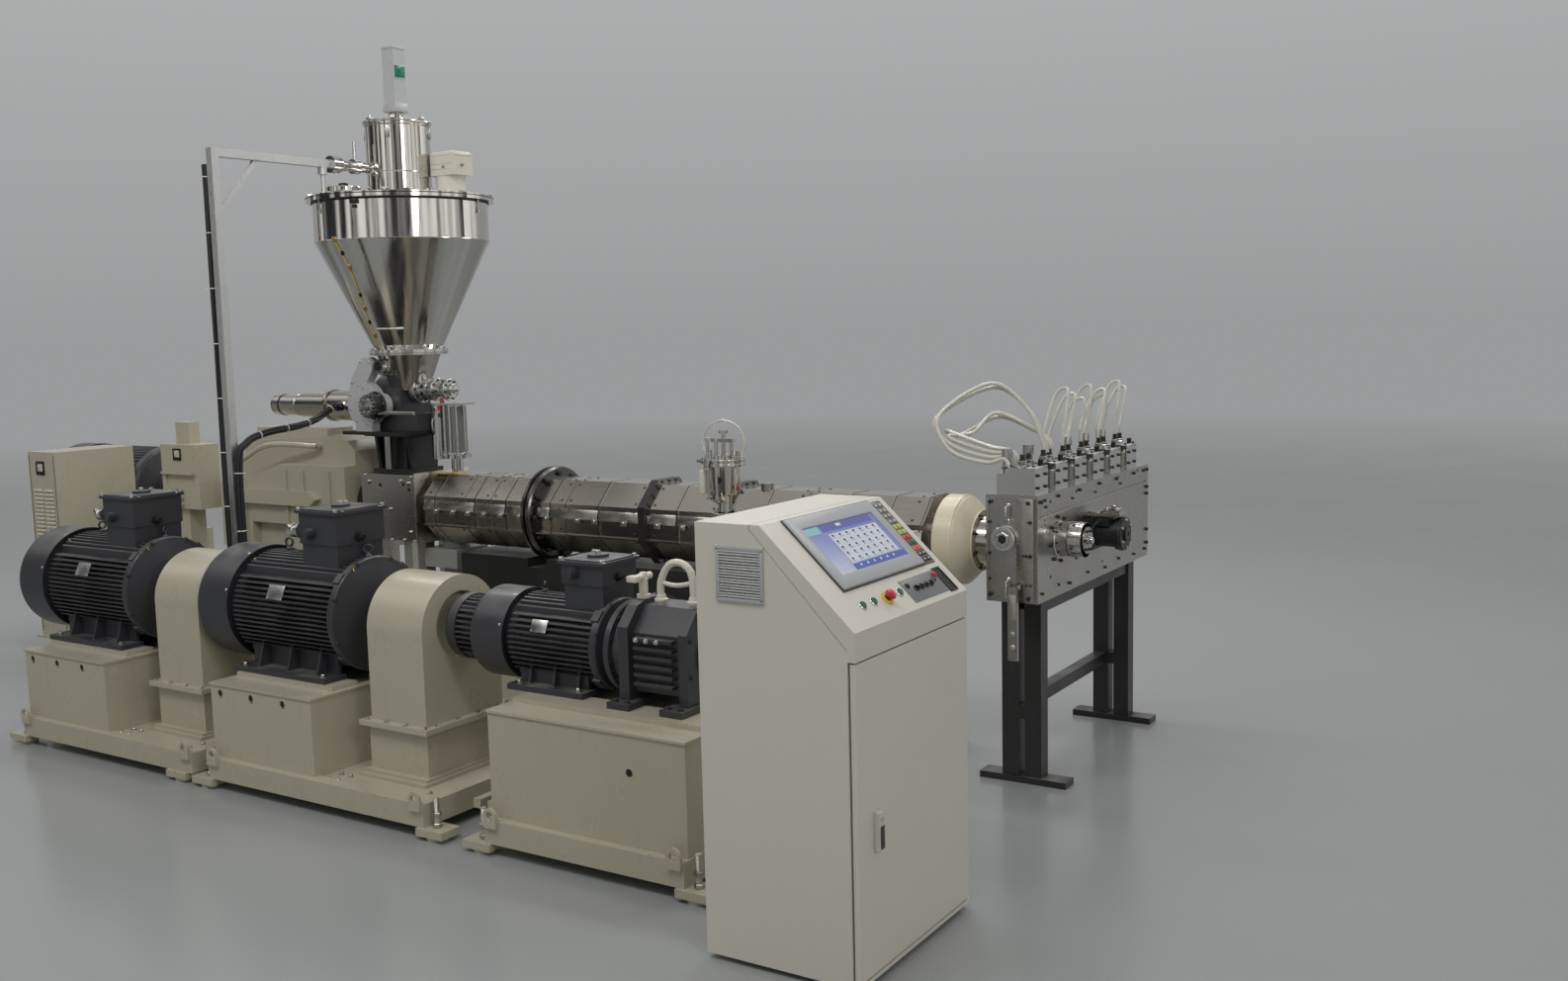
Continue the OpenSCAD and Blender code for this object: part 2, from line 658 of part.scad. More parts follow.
// Band round the cover, with a joint flange along its lower edge
module barrel_band(x, t, w) {
    translate([0, screw_y, screw_z]) cover_section(x, t, w);
}
module barrel_cover(x0, x1, bands) {
    color(steel) union() {
        translate([0, screw_y, screw_z]) cover_section(x0, x1 - x0, cover_w);
        for (b = bands) barrel_band(b, 8, cover_w + 8);
        for (s = [-1, 1]) span([x0 + 10, screw_y + s * (cover_w / 2 + 12) - 12, screw_z - 88],
            [x1 - 14, screw_y + s * (cover_w / 2 + 12) + 12, screw_z - 80]);
    }
}
module barrel_cover_rear() {
    color(steel) rod_x(feed_x + feed_len, 60, 150, screw_y, screw_z);
    barrel_cover(feed_x + feed_len + 50, clamp_x - 35.3, [130, 330]);
}
module barrel_cover_front() {
    barrel_cover(clamp_x + 35, adaptor_x - 40, [clamp_x + 240, 2375, adaptor_x - 60]);
    color(black) for (x = [1400, 1900]) barrel_band(x, 46, cover_w + 46);
    color(steel) rod_x(adaptor_x - 41, 41, 130, screw_y, screw_z);
    color(steel) for (x = [1790, 2110]) translate([x, screw_y - 60, screw_z + cover_w / 2 - 30])
        cylinder(h = 60, r = 34);
}

// Heavy clamp ring with its bolts
module clamp_ring() {
    color(black) translate([clamp_x - 35, screw_y, screw_z]) {
        turned_x(0, 0, 0, [[0, 0], [0, clamp_r - 10], [8, clamp_r], [26, clamp_r], [26, clamp_r - 14],
            [44, clamp_r - 14], [44, clamp_r], [62, clamp_r], [70, clamp_r - 10], [70, 0]]);
        for (a = [0 : 30 : 330]) rotate([a, 0, 0]) rod_x(-10, 90, 11, 0, clamp_r - 38);
    }
}

// Grey box column with a round cup under the start of the barrel
module barrel_support() {
    x = feed_x + feed_len + 90;
    color([0.62, 0.62, 0.62]) {
        span([x - 130, screw_y - 130, 740], [x + 130, screw_y + 130, 850]);
        translate([x, screw_y, 850]) cylinder(h = screw_z - cover_w / 2 - 850, r = 80);
        span([x - 55, screw_y - 55, base_z], [x + 55, screw_y + 55, 740]);
    }
}

// Black wiring box under the middle of the barrel, on its own legs
module wiring_box() {
    x0 = feed_x + feed_len + 300;
    x1 = adaptor_x - 790;
    z1 = screw_z - cover_w / 2 - 40;
    z0 = z1 - 250;
    color(black) {
        difference() {
            span([x0, screw_y - 170, z0], [x1, screw_y + 170, z1]);
            span([clamp_x - 70, screw_y - 171, screw_z - clamp_r - 30], [clamp_x + 70, screw_y + 171, z1 + 1]);
        }
        for (x = [x0 + 140, x0 + 740, x0 + 1340, x0 + 1940])
            span([x, screw_y - 60, base_z], [x + 60, screw_y + 60, z0]);
    }
}

// Vent pot beside the barrel: nozzle, neck, sight pot and clamped lid
module vent_pot() {
    x = 2020;
    reach = 110;
    y = screw_y - cover_w / 2 - reach;
    z = screw_z + 40;
    color(polished) {
        rod_y(y, reach, 30, x, z);
        translate([x, y, z - 34]) cylinder(h = 90, r = 40);
        translate([x, y, z + 56]) cylinder(h = 14, r = 60);
        translate([x, y, z + 70]) cylinder(h = 90, r = 36);
        translate([x, y, z + 160]) cylinder(h = 140, r1 = 64, r2 = 80);
        translate([x, y, z + 300]) cylinder(h = 18, r = 104);
        translate([x, y, z + 322]) cylinder(h = 18, r = 104);
        translate([x, y, z + 318]) cylinder(h = 4, r = 98);
        translate([x, y, z + 340]) cylinder(h = 12, r = 54);
        for (s = [-46, 46]) translate([x + s, y, z + 352]) cylinder(h = 76, r = 9);
        span([x - 66, y - 16, z + 416], [x + 66, y + 16, z + 434]);
        translate([x, y, z + 352]) cylinder(h = 108, r = 10);
        translate([x, y, z + 460]) cylinder(h = 14, r = 24);
        for (s = [-1, 1]) translate([x + s * 84, y, z + 340]) cylinder(h = 36, r = 12);
    }
}

// Black stand on the feed housing and the platform plate that it carries
module feeder_stand() {
    z0 = screw_z + feed_w / 2;
    z1 = platform_z - 20;
    x0 = feed_x + 10;
    x1 = hopper_x + 105;
    color(black) {
        span([x0, screw_y - 130, z0], [x1, screw_y + 130, z0 + 22]);
        for (x = [x0 + 16, x1 - 40])
            along_x(x, 24) polygon([[screw_y - 100, z0 + 22], [screw_y + 100, z0 + 22],
                [screw_y + 125, z1 - 12], [screw_y - 125, z1 - 12]]);
        span([x0 + 60, screw_y - 92, z0 + 22], [x1 - 70, screw_y + 92, z1 - 12]);
        span([x0 - 20, screw_y - 170, z1 - 12], [x1 + 40, screw_y + 170, z1]);
        span([gear_case_x + 40, case_y - 20, z1], [trough_end + 3, screw_y + 190, platform_z]);
    }
    color(steel) span([x0 + 130, screw_y - 150, z0 + 22], [x0 + 175, screw_y - 128, z1 - 12]);
}

// Places that the feeder's pieces share
trough_r = 120;
trough_end = hopper_x + 170;
case_y = screw_y - 210;
case_t = 60;
tube_z = feeder_z + 90;
tube_r = 75;

// Feeder body: cone under the hopper's flange, dark housing, screw tube and its coupling
module feeder_body() {
    color(steel) translate([hopper_x, screw_y, 0]) {
        translate([0, 0, tube_z]) cylinder(h = cone_z - 16 - tube_z, r1 = 108, r2 = outlet_r - 4);
        translate([0, 0, cone_z - 16]) cylinder(h = 16, r = outlet_r + 40);
        rod_x(62, 42, tube_r, 0, tube_z);
        rod_x(104, 90, 52, 0, tube_z);
        rod_x(194, 18, 64, 0, tube_z);
        rod_x(212, 76, 40, 0, tube_z);
        rod_x(288, 14, 52, 0, tube_z);
    }
    color([0.22, 0.22, 0.23]) translate([hopper_x, screw_y, 0]) {
        rod_x(-200, 235, trough_r, 0, feeder_z + 60);
        span([-200, -trough_r, platform_z], [35, trough_r, feeder_z + 60]);
        span([0, -trough_r, platform_z], [trough_end - hopper_x, 40, feeder_z - 50]);
        rod_x(0, 70, tube_r - 4, 0, tube_z);
    }
}

// Pear-shaped belt case of the feeder, its side drive, and the gear motor lying behind it
module feeder_gear_case() {
    low = [hopper_x - 187, feeder_z + 10];
    mid = [hopper_x - 225, feeder_z + 130];
    top = [hopper_x - 150, feeder_z + 232];
    drive_x = hopper_x - 69;
    color([0.66, 0.66, 0.66]) along_y(case_y, case_t) {
        hull() {
            translate(low) circle(r = 133, $fn = 40);
            translate(mid) circle(r = 60, $fn = 24);
        }
        hull() {
            translate(mid) circle(r = 60, $fn = 24);
            translate(top) circle(r = 58, $fn = 24);
        }
        translate([low[0] - 70, platform_z]) square([140, 60]);
    }
    color(black) {
        rod_y(case_y - 70, screw_y - trough_r - 0.3 - case_y + 70, 70, drive_x, feeder_z + 5);
        rod_y(case_y - 14, 14, 84, drive_x, feeder_z + 5);
    }
    color(steel) {
        rod_x(drive_x + 40, 310, 11, case_y - 40, feeder_z - 34);
        translate([0, screw_y - 10, feeder_z - 10]) {
            rod_x(gear_case_x - 260, hopper_x - 200.3 - gear_case_x + 260, 92, 0, 0);
            rod_x(gear_case_x - 280, 20, 100, 0, 0);
            rod_x(gear_case_x - 560, 280, 74, 0, 0);
            rod_x(gear_case_x - 800, 240, 66, 0, 0);
            rod_x(gear_case_x - 815, 15, 58, 0, 0);
            rod_y(-120, 50, 32, gear_case_x - 80, 0);
        }
        rod_y(case_y + case_t - 1, 70, 40, low[0] - 60, feeder_z - 10);
    }
}

// Dosing pot beside the feeder: steel canister, glass tube between two flanges, on a pipe
module dosing_pot() {
    x = hopper_x + 357;
    top = feeder_z + 4;
    low = feeder_z - 300;
    color(polished) {
        span([trough_end + 4, screw_y - 60, top], [x + 105, screw_y + 60, top + 10]);
        translate([x - 131, screw_y, low - 20]) cylinder(h = top - low + 20, r = 49);
        translate([x, screw_y, low - 10]) cylinder(h = 20, r = 86);
        translate([x, screw_y, screw_z + cover_w / 2]) cylinder(h = low - 10 - screw_z - cover_w / 2, r = 34);
    }
    color([0.8, 0.82, 0.82]) {
        translate([x, screw_y, low + 10]) cylinder(h = top - low - 10, r = 56);
        for (s = [-1, 1]) translate([x + s * 72, screw_y, low + 10]) cylinder(h = top - low - 10, r = 7);
    }
}

// Hopper: rolled shell, cone and bottom flange; a true hollow shell
module hopper_shell() {
    w = hopper_wall;
    rim = 34;
    color(polished) translate([hopper_x, screw_y, 0]) rotate_extrude($fn = 128) polygon([
        [outlet_r + 40, cone_z], [outlet_r + 40, cone_z + 16], [outlet_r + w, cone_z + 16],
        [hopper_r, cone_top_z], [hopper_r, lid_z - 22], [hopper_r + rim, lid_z - 22],
        [hopper_r + rim, lid_z], [hopper_r - w, lid_z], [hopper_r - w, cone_top_z],
        [outlet_r, cone_z + 16], [outlet_r, cone_z]]);
}

// Post and arm of the conveying pipe, in the plane of the hopper's axis
post_w = 44;
post_x = hopper_x - 90;
post_y = row_y + 325;
arm_z = lid_top + 170;
inlet_l = 250;
bundle_r = 30;

// Post on the left skid, with an arm out to the loader's inlet and a brace
module cable_post() {
    h = post_w / 2;
    arm_end = screw_y - loader_r - inlet_l;
    color(polished) {
        span([post_x - h, post_y - h, deck_z], [post_x + h, post_y + h, arm_z + h]);
        span([post_x - h, post_y, arm_z - h], [post_x + h, arm_end, arm_z + h]);
        along_x(post_x - 12, 24) polygon([[post_y + h - 2, arm_z - 320], [post_y + h - 2, arm_z - 284],
            [post_y + 250, arm_z - h + 2], [post_y + 284, arm_z - h + 2]]);
        translate([post_x, arm_end - 55, arm_z - h - 40]) cylinder(h = 42, r = 26);
        translate([post_x, arm_end - 55, lid_top]) cylinder(h = arm_z - h - 30 - lid_top, r = 12);
    }
}

// Place of the hatch on the lid
hatch_x = hopper_x - 283;
hatch_y = screw_y - 178;
hatch_hinge_y = hatch_y - hatch_r - 18;
hatch_hinge_z = lid_top + 22;
collar_h = 24;
collar_r = hatch_r - 16;

// Lid of the hopper with the open collar of the hatch and its hinge ears
module hopper_lid() {
    color(polished) {
        difference() {
            union() {
                translate([hopper_x, screw_y, lid_z]) cylinder(h = lid_t, r = hopper_r + 34, $fn = 128);
                translate([hatch_x, hatch_y, lid_z]) cylinder(h = lid_t + collar_h, r = collar_r);
                for (s = [-1, 1]) difference() {
                    span([hatch_x + s * 32 - 6, hatch_hinge_y - 12, lid_top - 1],
                        [hatch_x + s * 32 + 6, hatch_hinge_y + 12, hatch_hinge_z + 12]);
                    rod_x(hatch_x + s * 32 - 7, 14, 6.2, hatch_hinge_y, hatch_hinge_z);
                }
            }
            translate([hatch_x, hatch_y, lid_z - 1]) cylinder(h = lid_t + collar_h + 2, r = collar_r - 6);
        }
        for (a = [0 : 40 : 320]) rotate_about(a)
            span([hopper_r - 12, -16, lid_top - 2], [hopper_r + 28, 16, lid_top + 12]);
    }
}
module rotate_about(a) {
    translate([hopper_x, screw_y, 0]) rotate([0, 0, a]) children();
}

// Hatch cover: dished disc over the collar, hinge pin through the ears, and a knob
module hopper_hatch() {
    z = lid_top + collar_h + 0.4;
    color(polished) {
        translate([hatch_x, hatch_y, z]) rotate_extrude($fn = 96) polygon([[0, 0], [hatch_r, 0],
            [hatch_r, 10], [hatch_r - 12, 20], [40, 30], [0, 32]]);
        translate([hatch_x, hatch_y, z + 31]) cylinder(h = 30, r = 14);
        translate([hatch_x, hatch_y, z + 61]) cylinder(h = 10, r = 26);
        rod_x(hatch_x - 44, 88, 5.8, hatch_hinge_y, hatch_hinge_z);
        span([hatch_x - 20, hatch_hinge_y - 9, hatch_hinge_z - 9],
            [hatch_x + 20, hatch_y - hatch_r + 6, z + 10]);
    }
}

// Vacuum loader: drum with flanges, neck, control box and the inlet stub with its valve
module vacuum_loader() {
    h = loader_top_z - lid_top;
    y0 = screw_y - loader_r;
    color(polished) {
        translate([hopper_x, screw_y, lid_top]) {
            cylinder(h = 14, r = loader_r + 14);
            cylinder(h = h, r = loader_r, $fn = 96);
            translate([0, 0, h]) cylinder(h = 16, r = loader_r + 10, $fn = 96);
            translate([0, 0, h + 16]) cylinder(h = 20, r = 60);
            translate([0, 0, h + 36]) cylinder(h = 40, r = 32);
        }
        rod_y(y0 - inlet_l + 70, inlet_l + 60, 30, post_x, arm_z);
    }
    color([0.70, 0.72, 0.72]) translate([hopper_x, screw_y, 0])
        span([-46, -46, loader_top_z + 76], [46, 46, top_z]);
    color(black) {
        rod_y(y0 - inlet_l, 60, 48, post_x, arm_z);
        rod_y(y0 - inlet_l + 60, 12, 40, post_x, arm_z);
        rod_y(y0 - 90, 44, 42, post_x, arm_z);
        translate([post_x, y0 - 68, arm_z + 30]) cylinder(h = 110, r = 9);
    }
}

// Off-white blower standing on the lid beside the loader
module loader_blower() {
    x = hopper_x + 262;
    y = screw_y + 152;
    color([0.86, 0.85, 0.80]) {
        translate([x, y, lid_top]) cylinder(h = 120, r = 84);
        span([x - 78, y - 80, lid_top + 120], [x + 104, y + 80, lid_top + 250]);
        translate([x - 38, y, lid_top + 120]) cylinder(h = 130, r = 78);
    }
}

// Black cables tied to the post: one run from the arm, one from the feeder's gear motor
module cable_bundle() {
    x = post_x - post_w / 2 - bundle_r - 0.3;
    foot = deck_z;
    drop = [[x, post_y, foot], [x, post_y, 900], [x, post_y, 1800], [x, post_y, arm_z - 60]];
    x2 = post_x + post_w / 2 + 24.3;
    second = [[x2, post_y, foot], [x2, post_y, 800], [x2, post_y, 1420], [x2 - 10, post_y + 60, 1545],
        [x2 - 80, post_y + 250, 1590], [x2 - 260, post_y + 620, 1600], [x2 - 420, post_y + 880, 1620],
        [gear_case_x - 80, screw_y - 200, feeder_z - 10], [gear_case_x - 80, screw_y - 152, feeder_z - 10]];
    color(rubber_black) {
        swept(smooth(drop, 2), bundle_r);
        swept(smooth(second, 3), 24);
        rod_y(screw_y - 165, 34.7, 27, gear_case_x - 80, feeder_z - 10);
    }
}

// Beige conduits across the front of the gearbox
module gearbox_conduits() {
    y = screw_y - 262;
    upper = [[gear_x + 175, y - 30, ledge_z + 15], [gear_x + 175, y - 30, ledge_z + 175],
        [gear_x + 330, y - 30, ledge_z + 245], [gear_x + 520, y - 30, ledge_z + 325],
        [gear_x + 700, y + 10, ledge_z + 335], [gear_x + 860, y + 50, ledge_z + 325],
        [gear_x + 880, screw_y - 172, ledge_z + 325]];
    down = [[gear_x + 250, y - 30, ledge_z + 15], [gear_x + 250, y - 40, 900], [gear_x + 250, y - 30, 640],
        [gear_x + 250, y + 10, 540], [gear_x + 250, screw_y - 222, 520]];
    color(beige) {
        swept(smooth(upper, 3), 17);
        swept(smooth(down, 3), 14);
        rod_y(screw_y - 190, 30, 22, gear_x + 880, ledge_z + 325);
        rod_y(screw_y - 240, 30, 19, gear_x + 250, 520);
        span([gear_x + 140, y - 50, ledge_z - 25], [gear_x + 290, y - 17, ledge_z + 15]);
    }
}

// Adaptor: cream disc on the end of the barrel with the steel neck of the die
module adaptor() {
    r = adaptor_r;
    neck_r = 120;
    color(cream) turned_x(adaptor_x, screw_y, screw_z, [[0, 0], [0, r - 10], [8, r], [96, r],
        [108, r - 8], [170, neck_r + 22], [178, neck_r + 22], [178, 0]]);
    color(steel) rod_x(adaptor_x + 178, die_x - adaptor_x - 178, neck_r, screw_y, screw_z);
    color(cream) rod_x(die_x - 40, 40, neck_r + 44, screw_y, screw_z);
}

// Die block: two bolted halves with end plates, round end port, outlet stub and a lever
module die_block() {
    z1 = die_z + die_h;
    x1 = die_x + die_t;
    stub_z = screw_z + 30;
    port_z = die_z + 287;
    port_r = 26;
    color(steel) {
        difference() {
            union() {
                span([die_x, die_y, die_z], [x1, die_y + die_len, z1]);
                for (y = [die_y - 16, die_y + die_len])
                    span([die_x + 12, y, die_z + 12], [x1 - 12, y + 16, z1 - 12]);
            }
            rod_y(die_y - 17, 57, port_r, die_x + 95, port_z);
            along_x(x1 - 5, 6) polygon([[die_y + 20, z1 - 101], [die_y + die_len - 30, z1 - 87],
                [die_y + die_len - 30, z1 - 79], [die_y + 20, z1 - 93]]);
            span([die_x + die_t * 0.62, die_y - 17, die_z - 1], [die_x + die_t * 0.64, die_y - 10, z1 + 1]);
        }
        difference() {
            rod_y(die_y - 40, 24, port_r * 2, die_x + 95, port_z);
            rod_y(die_y - 41, 57, port_r, die_x + 95, port_z);
        }
        rod_x(x1, 62, 78, screw_y, stub_z);
        rod_x(x1 + 62, 5, 71, screw_y, stub_z);
        rod_x(x1 + 67, 62, 78, screw_y, stub_z);
        rod_x(x1 + 129, 9, 60, screw_y, stub_z);
        rod_y(die_y - 60, 44, 14, die_x + 150, die_z + 60);
        span([die_x + 128, die_y - 62, die_z - 250], [die_x + 172, die_y - 44, die_z + 80]);
    }
}

// Valve blocks with their lids and fittings along the top of the die
module die_valves() {
    pitch = (die_len - 60) / valves;
    z = die_z + die_h;
    color([0.78, 0.78, 0.78]) for (i = [0 : valves - 1]) {
        y = die_y + 20 + i * pitch;
        span([die_x + 95, y, z], [die_x + die_t - 20, y + 150, z + 120]);
        span([die_x + 30, y + 30, z], [die_x + 95, y + 120, z + 90]);
        for (d = [40, 110]) translate([die_x + 150, y + d, z + 120]) cylinder(h = 34, r = 15);
        translate([die_x + 62, y + 75, z + 90]) cylinder(h = 60, r = 20);
    }
    color(black) for (i = [0 : valves - 1]) {
        y = die_y + 20 + i * pitch;
        for (d = [40, 110]) translate([die_x + 150, y + d, z + 154]) cylinder(h = 22, r = 11);
        translate([die_x + 62, y + 75, z + 150]) cylinder(h = 46, r = 26);
    }
}

// Black motor on the front of the die
module die_motor() {
    x1 = die_x + die_t;
    y = die_y + 700;
    z = screw_z;
    color(black) {
        span([x1, y - 90, z - 74], [x1 + 30, y + 90, z + 74]);
        rod_x(x1 + 30, 90, 66, y, z);
        rod_x(x1 + 120, 38, 78, y, z);
        span([x1 + 30, y - 70, z + 40], [x1 + 100, y + 40, z + 88]);
    }
    color(steel) {
        span([x1, y - 62, z + 88], [x1 + 150, y + 50, z + 98]);
        span([x1 + 60, y - 40, z + 98], [x1 + 140, y + 30, z + 112]);
    }
}

// Stand under the die: two frames with feet, joined by a beam
module die_stand() {
    z = die_z;
    y0 = die_y + 120;
    y1 = die_y + die_len - 200;
    color([0.35, 0.36, 0.38]) {
        for (y = [y0, y1]) {
            span([die_x + 20, y, 30], [die_x + 100, y + 80, z]);
            span([die_x + 130, y, 30], [die_x + 210, y + 80, z]);
            span([die_x - 90, y - 10, 0], [die_x + 330, y + 90, 30]);
            span([die_x + 100, y, 300], [die_x + 130, y + 80, 360]);
        }
        span([die_x + 30, y0 + 80, 300], [die_x + 90, y1, 360]);
        span([die_x + 30, y0 + 80, z - 70], [die_x + 200, y1, z]);
    }
}

desk_t = 50;
slope = [console_front - console_x - top_d, desk_z - console_h];
slope_turn = atan2(-slope[1], slope[0]);
// Ends of the face on which the desk lid lies
seat_low = [body_front, desk_z - desk_t - 6];
seat_high = [console_x + top_d - desk_t * 0.75, console_h - desk_t * 0.25];
seam = 4;
// Vent in the console's near side: its lower left corner and its size
vent_x = console_x + 90;
vent_w = 165;
vent_z = console_h - 80 - vent_w;

// Hollow cabinet of the console, open at the front, with a vent and a plinth under the door
module console_body() {
    w = console_wall;
    y1 = console_y + console_w;
    inner_top = desk_z - desk_t - 20;
    color(console_grey) {
        difference() {
            union() {
                along_y(console_y, console_w) polygon([[console_x, plinth_z], [body_front, plinth_z],
                    seat_low - [0, seam], seat_high - [seam, seam], [seat_high[0] - seam, console_h],
                    [console_x, console_h]]);
                along_y(console_y + seam, console_w - 2 * seam) polygon([[console_x, plinth_z],
                    [body_front, plinth_z], seat_low, seat_high, [seat_high[0], console_h - seam],
                    [console_x, console_h - seam]]);
            }
            along_y(console_y + w, console_w - 2 * w) polygon([[console_x + w, plinth_z + w],
                [body_front + 1, plinth_z + w], [body_front + 1, inner_top - 40],
                [body_front - 60, inner_top - 40], [console_x + top_d - 60, console_h - 110],
                [console_x + w, console_h - 110]]);
            span([vent_x, console_y - 1, vent_z], [vent_x + vent_w, console_y + 5, vent_z + vent_w]);
        }
        span([vent_x - 6, console_y - 5, vent_z - 6], [vent_x + vent_w + 6, console_y, vent_z + 3]);
        for (i = [0 : 9]) span([vent_x + 4, console_y - 3, vent_z + 11 + i * 15],
            [vent_x + vent_w - 4, console_y + 5, vent_z + 17 + i * 15]);
        span([body_front, console_y, plinth_z], [door_front, y1, plinth_z + plinth_t]);
        translate([hinge_x, hinge_y, plinth_z + plinth_t]) cylinder(h = door_z0 - plinth_z - plinth_t - 0.3,
            r = 9);
        translate([hinge_x, hinge_y, plinth_z + plinth_t]) cylinder(h = 40, r = pin_r);
        for (x = [console_x + 50, console_front - 80], y = [console_y + 60, y1 - 60])
            translate([x, y, 0]) cylinder(h = plinth_z, r = 25);
    }
}

// Desk lid: thick sloping plate with its front lip, and the upper hinge pin
module console_desk() {
    back = [console_x + top_d, console_h];
    color(console_grey) {
        along_y(console_y, console_w) polygon([back, [console_front, desk_z], [console_front, door_top_z + 6],
            [body_front, door_top_z + 6], seat_low, seat_high, [seat_high[0], console_h]]);
        translate([hinge_x, hinge_y, door_top_z - 26]) cylinder(h = 40, r = pin_r);
    }
}

// Place things on the sloping desk: x runs down the slope, y along the console
module on_desk() {
    translate([console_x + top_d, console_y, console_h]) rotate([0, slope_turn, 0]) children();
}

// Touch screen with its grey bezel, the push buttons, key strip and key plate
module touch_screen() {
    color([0.62, 0.64, 0.66]) on_desk() {
        difference() {
            span([8, 125, 0], [315, 690, 12]);
            span([59, 176, 8.5], [264, 639, 13]);
        }
        span([346, 447, 0], [441, 698, 3]);
        span([14, 700, 0], [320, 770, 2.5]);
    }
    color(black) on_desk() {
        span([340, 702, 0], [450, 760, 3]);
        for (y = [516, 552, 588, 624]) translate([392, y, 3]) cylinder(h = 12, r = 12);
    }
    color([0.1, 0.3, 0.2]) on_desk() for (y = [157, 229, 406])
        translate([384, y, 0]) cylinder(h = 8, r = 14);
    color([0.9, 0.75, 0.1]) on_desk() translate([390, 312, 0]) cylinder(h = 6, r = 25);
    color([0.75, 0.1, 0.1]) on_desk() translate([390, 312, 6]) cylinder(h = 25, r = 19);
}

// Door of the console with bores for its hinge pins and a recessed handle
module console_door() {
    y1 = console_y + console_w;
    color(console_grey) difference() {
        span([door_front - door_t, console_y + 2, door_z0], [door_front, hinge_y + 7, door_top_z]);
        translate([hinge_x, hinge_y, door_z0 - 1]) cylinder(h = 50, r = pin_r + pin_gap);
        translate([hinge_x, hinge_y, door_top_z - 49]) cylinder(h = 50, r = pin_r + pin_gap);
    }
    color(black) span([door_front, console_y + 101, 444], [door_front + 22, console_y + 135, 569]);
}

drive_skid_left();
drive_skid_middle();
drive_skid_right();
motor_left();
motor_middle();
motor_right();
fan_cowl_left();
fan_cowl_middle();
fan_cowl_right();
terminal_box_left();
terminal_box_middle();
terminal_box_right();
fan_motor();
coupling_guard_left();
coupling_guard_middle();
vacuum_pump();
pump_manifold();
extruder_base();
main_motor();
louvred_cabinet();
gauge_box();
gearbox();
feed_housing();
barrel_cover_rear();
clamp_ring();
barrel_cover_front();
barrel_support();
wiring_box();
vent_pot();
feeder_stand();
feeder_body();
feeder_gear_case();
dosing_pot();
hopper_shell();
hopper_lid();
hopper_hatch();
vacuum_loader();
loader_blower();
cable_post();
cable_bundle();
gearbox_conduits();
adaptor();
die_block();
die_valves();
die_motor();
die_stand();
console_body();
console_desk();
touch_screen();
console_door();
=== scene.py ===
import math

import bpy
from mathutils import Matrix, Vector


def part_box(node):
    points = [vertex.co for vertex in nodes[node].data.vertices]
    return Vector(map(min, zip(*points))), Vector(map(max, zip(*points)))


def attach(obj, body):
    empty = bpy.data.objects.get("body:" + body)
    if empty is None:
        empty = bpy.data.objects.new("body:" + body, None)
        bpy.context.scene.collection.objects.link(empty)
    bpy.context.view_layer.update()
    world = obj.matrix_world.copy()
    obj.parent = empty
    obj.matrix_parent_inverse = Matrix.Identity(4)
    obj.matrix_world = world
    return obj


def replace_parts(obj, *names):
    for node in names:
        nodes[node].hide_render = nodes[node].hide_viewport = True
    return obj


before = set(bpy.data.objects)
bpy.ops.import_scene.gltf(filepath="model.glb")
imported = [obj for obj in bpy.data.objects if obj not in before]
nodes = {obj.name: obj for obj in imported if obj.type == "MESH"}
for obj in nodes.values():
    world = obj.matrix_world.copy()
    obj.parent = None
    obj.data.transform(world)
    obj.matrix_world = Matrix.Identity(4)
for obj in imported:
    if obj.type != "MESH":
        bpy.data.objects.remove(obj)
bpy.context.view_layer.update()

# Main places of the plant in metres, which most details are set out from
plant = {
    "rowY": -1.0, "shaftZ": 0.815, "screwY": 0.53, "screwZ": 1.09, "deckZ": 0.142, "hopperX": -0.465,
    "consoleX": 3.3, "consoleD": 0.59, "consoleY": -1.805, "consoleH": 1.48, "topD": 0.25, "deskZ": 1.165,
}
rowY, shaftZ = plant["rowY"], plant["shaftZ"]
screwY, screwZ, hopperX = plant["screwY"], plant["screwZ"], plant["hopperX"]
toDie, toRear, toNear, up = (1, 0, 0), (-1, 0, 0), (0, -1, 0), (0, 0, 1)
mirror = (-1, 1)


# Small tools for modelling
def clearSelection():
    bpy.ops.object.select_all(action="DESELECT")


def makeActive(piece):
    clearSelection()
    piece.select_set(True)
    bpy.context.view_layer.objects.active = piece


def recessed(piece, test, rims, push):
    # Faces that pass the test are inset by each rim in turn and pushed in
    makeActive(piece)
    bpy.ops.object.mode_set(mode="EDIT")
    bpy.ops.mesh.select_mode(type="FACE")
    bpy.ops.mesh.select_all(action="DESELECT")
    bpy.ops.object.mode_set(mode="OBJECT")
    for face in piece.data.polygons:
        face.select = test(face)
    bpy.ops.object.mode_set(mode="EDIT")
    for thickness, depth in rims:
        bpy.ops.mesh.inset(thickness=thickness, depth=depth)
    bpy.ops.mesh.extrude_region_move(TRANSFORM_OT_translate={"value": push})
    bpy.ops.object.mode_set(mode="OBJECT")
    return piece


def softenEdges(piece, width, steps=2, angle=30):
    makeActive(piece)
    bevel = piece.modifiers.new("soft", "BEVEL")
    bevel.width = width
    bevel.segments = steps
    bevel.limit_method = "ANGLE"
    bevel.angle_limit = math.radians(angle)
    bpy.ops.object.modifier_apply(modifier=bevel.name)


def block(low, high, edge=0.003, steps=2):
    # A box between two corners with rounded edges
    clearSelection()
    middle = [(a + b) / 2 for a, b in zip(low, high)]
    bpy.ops.mesh.primitive_cube_add(size=1, location=middle)
    piece = bpy.context.object
    piece.scale = [b - a for a, b in zip(low, high)]
    bpy.ops.object.transform_apply(location=True, rotation=True, scale=True)
    if edge:
        softenEdges(piece, edge, steps)
    return piece


